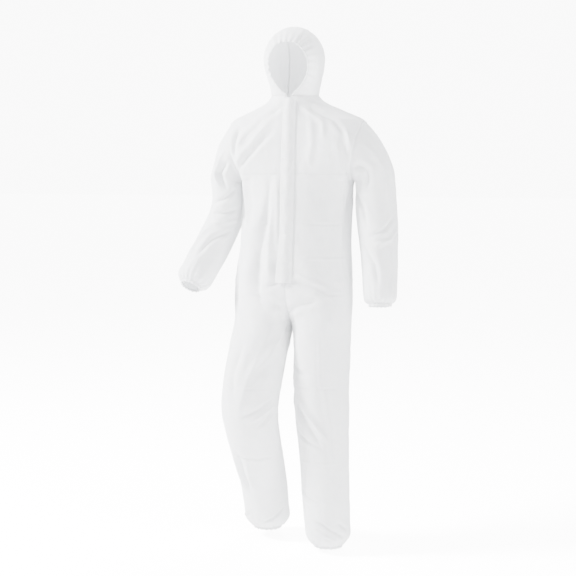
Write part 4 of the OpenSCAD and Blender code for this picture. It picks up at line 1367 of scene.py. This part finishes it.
def zip_point(x, depth, z):
    """From the zip's own frame (across, inwards, up along the zip) to the suit's."""
    lean = -ZIP_LEAN
    y = depth * math.cos(lean) - z * math.sin(lean)
    up = depth * math.sin(lean) + z * math.cos(lean)
    return np.array((x, front_y(ZIP_TOP) + y, ZIP_TOP + up))


ZIP_OUT = zip_point(0, -1, 0) - zip_point(0, 0, 0)


def zip_strip(name, low_x, high_x, depth, thick, low_z, high_z, across=6, up=300):
    """A flat strip behind the flap, from its outer face inwards."""
    grid = np.array([
        [zip_point(x, depth, z) for x in np.linspace(low_x, high_x, across)]
        for z in np.linspace(low_z, high_z, up)
    ])
    return shell(name, grid, np.broadcast_to(ZIP_OUT, grid.shape), thick)


COIL_PITCH, COIL_LOW, COIL_THREAD = 1.6, -598, 0.28
for side, word in enumerate(SIDE_NAME):
    way = 1 if side == LEFT else -1
    low, high = sorted((way * 1.1, way * 14.0))
    tape = zip_strip(f"tape_{word}", low, high, 3.0, 0.8, -ZIP_LENGTH, 0)
    put_on(tape, "suit", "zip_tape", f"zip_tape_{word}")
    turns = np.arange(0, (ZIP_LENGTH - 10) / COIL_PITCH, 0.1)
    angle = 2 * math.pi * turns + (math.pi if side == RIGHT else 0)
    path = np.array([
        zip_point(way * (1.75 + math.cos(a)), 1.8 + 0.9 * math.sin(a), COIL_LOW + COIL_PITCH * t)
        for a, t in zip(angle, turns)
    ])
    thread = COIL_THREAD * np.array([(1, 0), (0, 1), (-1, 0), (0, -1)])
    up_zip = np.broadcast_to(zip_point(0, 0, 1) - zip_point(0, 0, 0), path.shape)
    coil = bar(f"coil_{word}", path, up_zip, np.repeat(thread[None], len(path), axis=0))
    put_on(coil, "suit", "zip_coil", f"zip_coil_{word}")
guard = zip_strip("guard_strip", -22, 22, 8.0, 1.0, -610, 0, 12, 120)
put_on(guard, "suit", "suit_fabric", "zip_guard")


def beside(x, z):
    """How far the cloth beside the zip has moved outwards from its unslackened shape."""
    h = zip_point(0, 0, z)[2]
    side = LEFT if x > 0 else RIGHT
    rest = body_point(side, h, arc_share(side, h, abs(x)))
    placed, _ = draped([rest], side)
    return float((placed[0] - rest) @ ZIP_OUT)


flap_xs, flap_zs = np.linspace(FLAP_HINGE, FLAP_FREE, 34), np.linspace(FLAP_LOW, 0, 250)
knots = np.linspace(FLAP_LOW, 0, 60)
at_hinge = np.interp(flap_zs, knots, [beside(FLAP_HINGE, z) for z in knots])
at_free = np.interp(flap_zs, knots, [beside(FLAP_FREE, z) for z in knots])
# Creases across the flap: depth, height along the zip, slant and width
FLAP_CREASES = [(1.6, -452, -0.25, 4), (1.2, -205, 0.3, 4), (1.4, -548, 0.2, 5)]


def flap_point(x, z, out):
    """A place on the storm flap, out millimetres above its inner face."""
    share = (FLAP_HINGE - x) / (FLAP_HINGE - FLAP_FREE)
    under = np.interp(z, flap_zs, at_hinge) * (1 - share) + np.interp(z, flap_zs, at_free) * share
    rise = 1.2 + 6.8 * math.cos(math.pi / 2 * x / 25) ** 2 + max(under, -1.0)
    free = smoothstep(share * 1.6 - 0.6)
    wave = 1.1 * math.sin(z / 31) * free + 0.8 * math.sin(z / 13 + 1.0) * free * free
    wave += 1.3 * noise.noise(Vector((x, z * 0.55, 3)) / 17)
    wave += 0.5 * noise.noise(Vector((x, z, 9)) / 6)
    kick = smoothstep((-z - 500) / 110)
    rise += 2.6 * free * smoothstep((-z - 120) / 200)
    for depth, height, slant, width in FLAP_CREASES:
        wave -= depth * math.exp(-(((z - height + slant * x) / width) ** 2))
    rise += wave * smoothstep(share * 4) + kick * share * 3.0
    return zip_point(x - kick * share * 10 - 0.9 * math.sin(z / 47) * free, -(rise + out), z)


FLAP_THICK = 1.4
outer, inner = (
    np.array([[flap_point(x, z, out) for x in flap_xs] for z in flap_zs]) for out in (FLAP_THICK, 0)
)
# Both plies come together at the edges
from_edge = np.minimum(np.arange(len(flap_xs)), np.arange(len(flap_xs))[::-1])
soften = np.clip(1 - from_edge / 2, 0, 1)[None, :, None] * 0.3
outer, inner = outer + (inner - outer) * soften, inner + (outer - inner) * soften
flap_ids = np.arange(outer[..., 0].size).reshape(outer.shape[:2])
faces = [f[:1] + f[:0:-1] for f in sheet_faces(flap_ids, False)]
flap = closed_mesh("storm_flap_cloth", outer.reshape(-1, 3), inner.reshape(-1, 3), faces)
put_on(flap, "flap", "suit_fabric", "storm_flap")
flap_out = np.broadcast_to(ZIP_OUT, outer.shape)
for name, row in (("0", np.s_[:, 3]), ("1", np.s_[:, 30]), ("low", np.s_[3])):
    thread = stitches(f"flap_stitches_{name}", outer[row] + ZIP_OUT * 0.1, flap_out[row])
    put_on(thread, "flap")
STRIPS = (
    ("adhesive_strip", -19.0, -12.0, -0.25, 0.2, "adhesive", "flap_adhesive"),
    ("liner_strip", -19.5, -11.5, -0.5, 0.15, "liner", "release_liner"),
)
for name, low, high, out, thick, slot, node in STRIPS:
    grid = np.array([
        [flap_point(x, z, out + thick) for x in np.linspace(low, high, 8)]
        for z in np.linspace(FLAP_LOW + 30, -20, 240)
    ])
    strip = shell(name, grid, np.broadcast_to(ZIP_OUT, grid.shape), thick)
    put_on(strip, "flap", slot, node)


# ---- Materials ----


def new_material(name, rough, metal=0.0, **sockets):
    """A material with its nodes, its links and its shader; sockets set the shader's inputs."""
    mat = bpy.data.materials.new(name)
    mat.use_nodes = True
    nodes = mat.node_tree.nodes
    shader = nodes["Principled BSDF"]
    shader.inputs["Roughness"].default_value = rough
    shader.inputs["Metallic"].default_value = metal
    for socket, value in sockets.items():
        shader.inputs[socket.replace("_", " ")].default_value = value
    return mat, nodes, mat.node_tree.links, shader


def place(nodes, links, stretch=(1, 1, 1)):
    """Object coordinates, stretched along each axis."""
    where = nodes.new("ShaderNodeTexCoord")
    mapping = nodes.new("ShaderNodeMapping")
    mapping.inputs["Scale"].default_value = stretch
    links.new(where.outputs["Object"], mapping.inputs["Vector"])
    return mapping.outputs["Vector"]


def grain(nodes, links, vector, scale, detail=3.0):
    """Fine noise from 0 to 1."""
    tex = nodes.new("ShaderNodeTexNoise")
    tex.inputs["Scale"].default_value = scale
    tex.inputs["Detail"].default_value = detail
    links.new(vector, tex.inputs["Vector"])
    return tex.outputs["Fac"]


def bands(nodes, links, vector, scale, direction, distortion=0.3):
    """Slightly uneven bands across a direction, from 0 to 1."""
    tex = nodes.new("ShaderNodeTexWave")
    tex.bands_direction = direction
    tex.inputs["Scale"].default_value = scale
    tex.inputs["Distortion"].default_value = distortion
    links.new(vector, tex.inputs["Vector"])
    return tex.outputs["Fac"]


def tint(nodes, links, shader, fac, dark, light):
    """Base colour between two colours, by fac."""
    ramp = nodes.new("ShaderNodeValToRGB")
    ramp.color_ramp.elements[0].position, ramp.color_ramp.elements[1].position = 0.3, 0.7
    ramp.color_ramp.elements[0].color = (*dark, 1)
    ramp.color_ramp.elements[1].color = (*light, 1)
    links.new(fac, ramp.inputs["Fac"])
    links.new(ramp.outputs["Color"], shader.inputs["Base Color"])


def bumps(nodes, links, shader, layers):
    """Bump layers of (height, strength, depth in metres), one over another."""
    before = None
    for fac, strength, depth in layers:
        bump = nodes.new("ShaderNodeBump")
        bump.inputs["Strength"].default_value = strength
        bump.inputs["Distance"].default_value = depth
        links.new(fac, bump.inputs["Height"])
        if before:
            links.new(before, bump.inputs["Normal"])
        before = bump.outputs["Normal"]
    links.new(before, shader.inputs["Normal"])


def let_light_through(nodes, links, shader, share, colour):
    """Mixes in some translucency, which lights the inside of the thin white cloth."""
    through = nodes.new("ShaderNodeBsdfTranslucent")
    through.inputs["Color"].default_value = (*colour, 1)
    mix = nodes.new("ShaderNodeMixShader")
    mix.inputs["Fac"].default_value = share
    links.new(shader.outputs["BSDF"], mix.inputs[1])
    links.new(through.outputs["BSDF"], mix.inputs[2])
    links.new(mix.outputs["Shader"], nodes["Material Output"].inputs["Surface"])


def fabric_material():
    """White nonwoven: faint mottling, embossed dots and loose fibres."""
    mat, nodes, links, shader = new_material("nonwoven", 0.58)
    shader.inputs["Sheen Weight"].default_value = 0.08
    shader.inputs["Specular IOR Level"].default_value = 0.35
    where = place(nodes, links)
    mottle = grain(nodes, links, where, 45)
    tint(nodes, links, shader, mottle, (0.86, 0.87, 0.885), (0.925, 0.93, 0.935))
    dots = nodes.new("ShaderNodeTexVoronoi")
    dots.inputs["Scale"].default_value = 620
    dots.inputs["Randomness"].default_value = 0.25
    links.new(where, dots.inputs["Vector"])
    fibres = grain(nodes, links, place(nodes, links, (1, 1, 3)), 1500, 5)
    crumple = grain(nodes, links, where, 110, 4)
    creases = grain(nodes, links, place(nodes, links, (1, 1, 0.6)), 42, 3)
    bumps(nodes, links, shader, [
        (creases, 0.45, 0.004), (crumple, 0.55, 0.0018),
        (dots.outputs["Distance"], 0.35, 0.0003), (fibres, 0.3, 0.0002),
    ])
    let_light_through(nodes, links, shader, 0.38, (0.95, 0.955, 0.96))
    return mat


def ribbed_material():
    """Knitted elastic: bands across the hem and a fine grain."""
    mat, nodes, links, shader = new_material("ribbed_elastic", 0.75)
    where = place(nodes, links)
    mottle = grain(nodes, links, where, 300)
    tint(nodes, links, shader, mottle, (0.70, 0.71, 0.73), (0.82, 0.83, 0.85))
    ribs, yarn = bands(nodes, links, where, 180, "Z"), grain(nodes, links, where, 1800)
    bumps(nodes, links, shader, [(ribs, 0.5, 0.0004), (yarn, 0.4, 0.0002)])
    return mat


def woven_material(name, dark, light, scale, rough):
    """Woven tape or satin: bands of warp and of weft."""
    mat, nodes, links, shader = new_material(name, rough)
    where = place(nodes, links)
    warp, weft = bands(nodes, links, where, scale, "X"), bands(nodes, links, where, scale, "Z")
    tint(nodes, links, shader, grain(nodes, links, where, scale * 2), dark, light)
    bumps(nodes, links, shader, [(warp, 0.5, 0.0002), (weft, 0.5, 0.0002)])
    return mat


def smooth_material(name, dark, light, rough, scale, metal=0.0, depth=0.0001, **sockets):
    """Plastic, paint, adhesive or paper: a fine grain in the colour, gloss and surface."""
    mat, nodes, links, shader = new_material(name, rough, metal, **sockets)
    where = place(nodes, links)
    fac = grain(nodes, links, where, scale, 5)
    tint(nodes, links, shader, fac, dark, light)
    gloss = nodes.new("ShaderNodeMapRange")
    gloss.inputs["To Min"].default_value = rough * 0.8
    gloss.inputs["To Max"].default_value = min(1, rough * 1.25)
    links.new(fac, gloss.inputs["Value"])
    links.new(gloss.outputs["Result"], shader.inputs["Roughness"])
    bumps(nodes, links, shader, [(fac, 0.3, depth)])
    return mat


MATERIALS = {
    "suit_fabric": fabric_material(),
    "elastic": ribbed_material(),
    "zip_tape": woven_material("woven_tape", (0.80, 0.81, 0.82), (0.88, 0.885, 0.89), 320, 0.8),
    "label": woven_material("satin_label", (0.84, 0.84, 0.83), (0.92, 0.92, 0.91), 420, 0.5),
    "zip_coil": smooth_material("nylon_coil", (0.78, 0.79, 0.80), (0.86, 0.87, 0.88), 0.35, 400),
    "slider": smooth_material(
        "painted_zinc", (0.80, 0.81, 0.82), (0.88, 0.885, 0.89), 0.3, 500, 0.0, Coat_Weight=0.4
    ),
    "adhesive": smooth_material("adhesive_film", (0.80, 0.79, 0.72), (0.88, 0.87, 0.80), 0.2, 150),
    "liner": smooth_material("silicone_paper", (0.83, 0.83, 0.80), (0.90, 0.90, 0.87), 0.4, 240),
}
METAL_NODES = ("zip_slider", "zip_puller", "zip_top_stops", "zip_bottom_stop")
slots.update(dict.fromkeys(METAL_NODES, "slider"))
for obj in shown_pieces():
    obj.data.materials.clear()
    obj.data.materials.append(MATERIALS[slots[obj.name]])


# ---- Camera, light and stage ----


def aim(obj, target):
    """Turns a camera or light towards a place."""
    obj.rotation_euler = (Vector(target) - obj.location).to_track_quat("-Z", "Y").to_euler()


AZIMUTH, DISTANCE, EYE_Z = math.radians(16), 4.0, -0.22
LOOK_AT = (-0.033, 0, -0.655)
LENS, SENSOR = 72.65, 36
camera = bpy.data.objects.new("camera", bpy.data.cameras.new("camera"))
camera.location = (DISTANCE * math.sin(AZIMUTH), -DISTANCE * math.cos(AZIMUTH), EYE_Z)
aim(camera, LOOK_AT)
camera.data.lens, camera.data.sensor_width = LENS, SENSOR
bpy.context.collection.objects.link(camera)
bpy.context.scene.camera = camera


def area_light(name, place_at, target, size, watts):
    light = bpy.data.lights.new(name, "AREA")
    light.shape = "DISK"
    light.size = size
    light.energy = watts
    obj = bpy.data.objects.new(name, light)
    obj.location = place_at
    aim(obj, target)
    bpy.context.collection.objects.link(obj)


# Lights: name, place, target, width and power
for values in (
    ("key", (-3.4, -1.5, 2.0), (0, 0, -0.6), 1.0, 1300),
    ("fill", (3.6, -1.6, 0.8), (0, 0, -0.7), 1.8, 260),
    ("top", (0.2, 1.6, 2.6), (0, 0, -0.6), 1.8, 260),
):
    area_light(*values)


def bright_for_camera(nodes, links, socket, light, seen):
    """Gives the studio's white one strength as light and another as it is seen."""
    path = nodes.new("ShaderNodeLightPath")
    spread = nodes.new("ShaderNodeMapRange")
    spread.inputs["To Min"].default_value = light
    spread.inputs["To Max"].default_value = seen
    links.new(path.outputs["Is Camera Ray"], spread.inputs["Value"])
    links.new(spread.outputs["Result"], socket)


FLOOR_Z, FLOOR_HALF = -NECK / 1000, 40
FLOOR_LIGHT, FLOOR_SEEN = 2.2, 9.5
WORLD_LIGHT, WORLD_SEEN = 1.1, 10
pale, nodes, links, shader = new_material("pale_floor", 0.9)
shader.inputs["Base Color"].default_value = (0.97, 0.97, 0.97, 1)
shader.inputs["Emission Color"].default_value = (1, 1, 1, 1)
bright_for_camera(nodes, links, shader.inputs["Emission Strength"], FLOOR_LIGHT, FLOOR_SEEN)
floor = bpy.data.meshes.new("floor")
floor_corners = [
    (x * FLOOR_HALF, y * FLOOR_HALF, FLOOR_Z) for x, y in ((-1, -1), (1, -1), (1, 1), (-1, 1))
]
floor.from_pydata(floor_corners, [], [(0, 1, 2, 3)])
floor_obj = bpy.data.objects.new("floor", floor)
bpy.context.collection.objects.link(floor_obj)
floor.materials.append(pale)
floor_obj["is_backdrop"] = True

world = bpy.data.worlds.new("studio")
world.use_nodes = True
nodes, links = world.node_tree.nodes, world.node_tree.links
sky = nodes["Background"].inputs
sky["Color"].default_value = (1, 1, 1, 1)
bright_for_camera(nodes, links, sky["Strength"], WORLD_LIGHT, WORLD_SEEN)
bpy.context.scene.world = world

low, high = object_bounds()
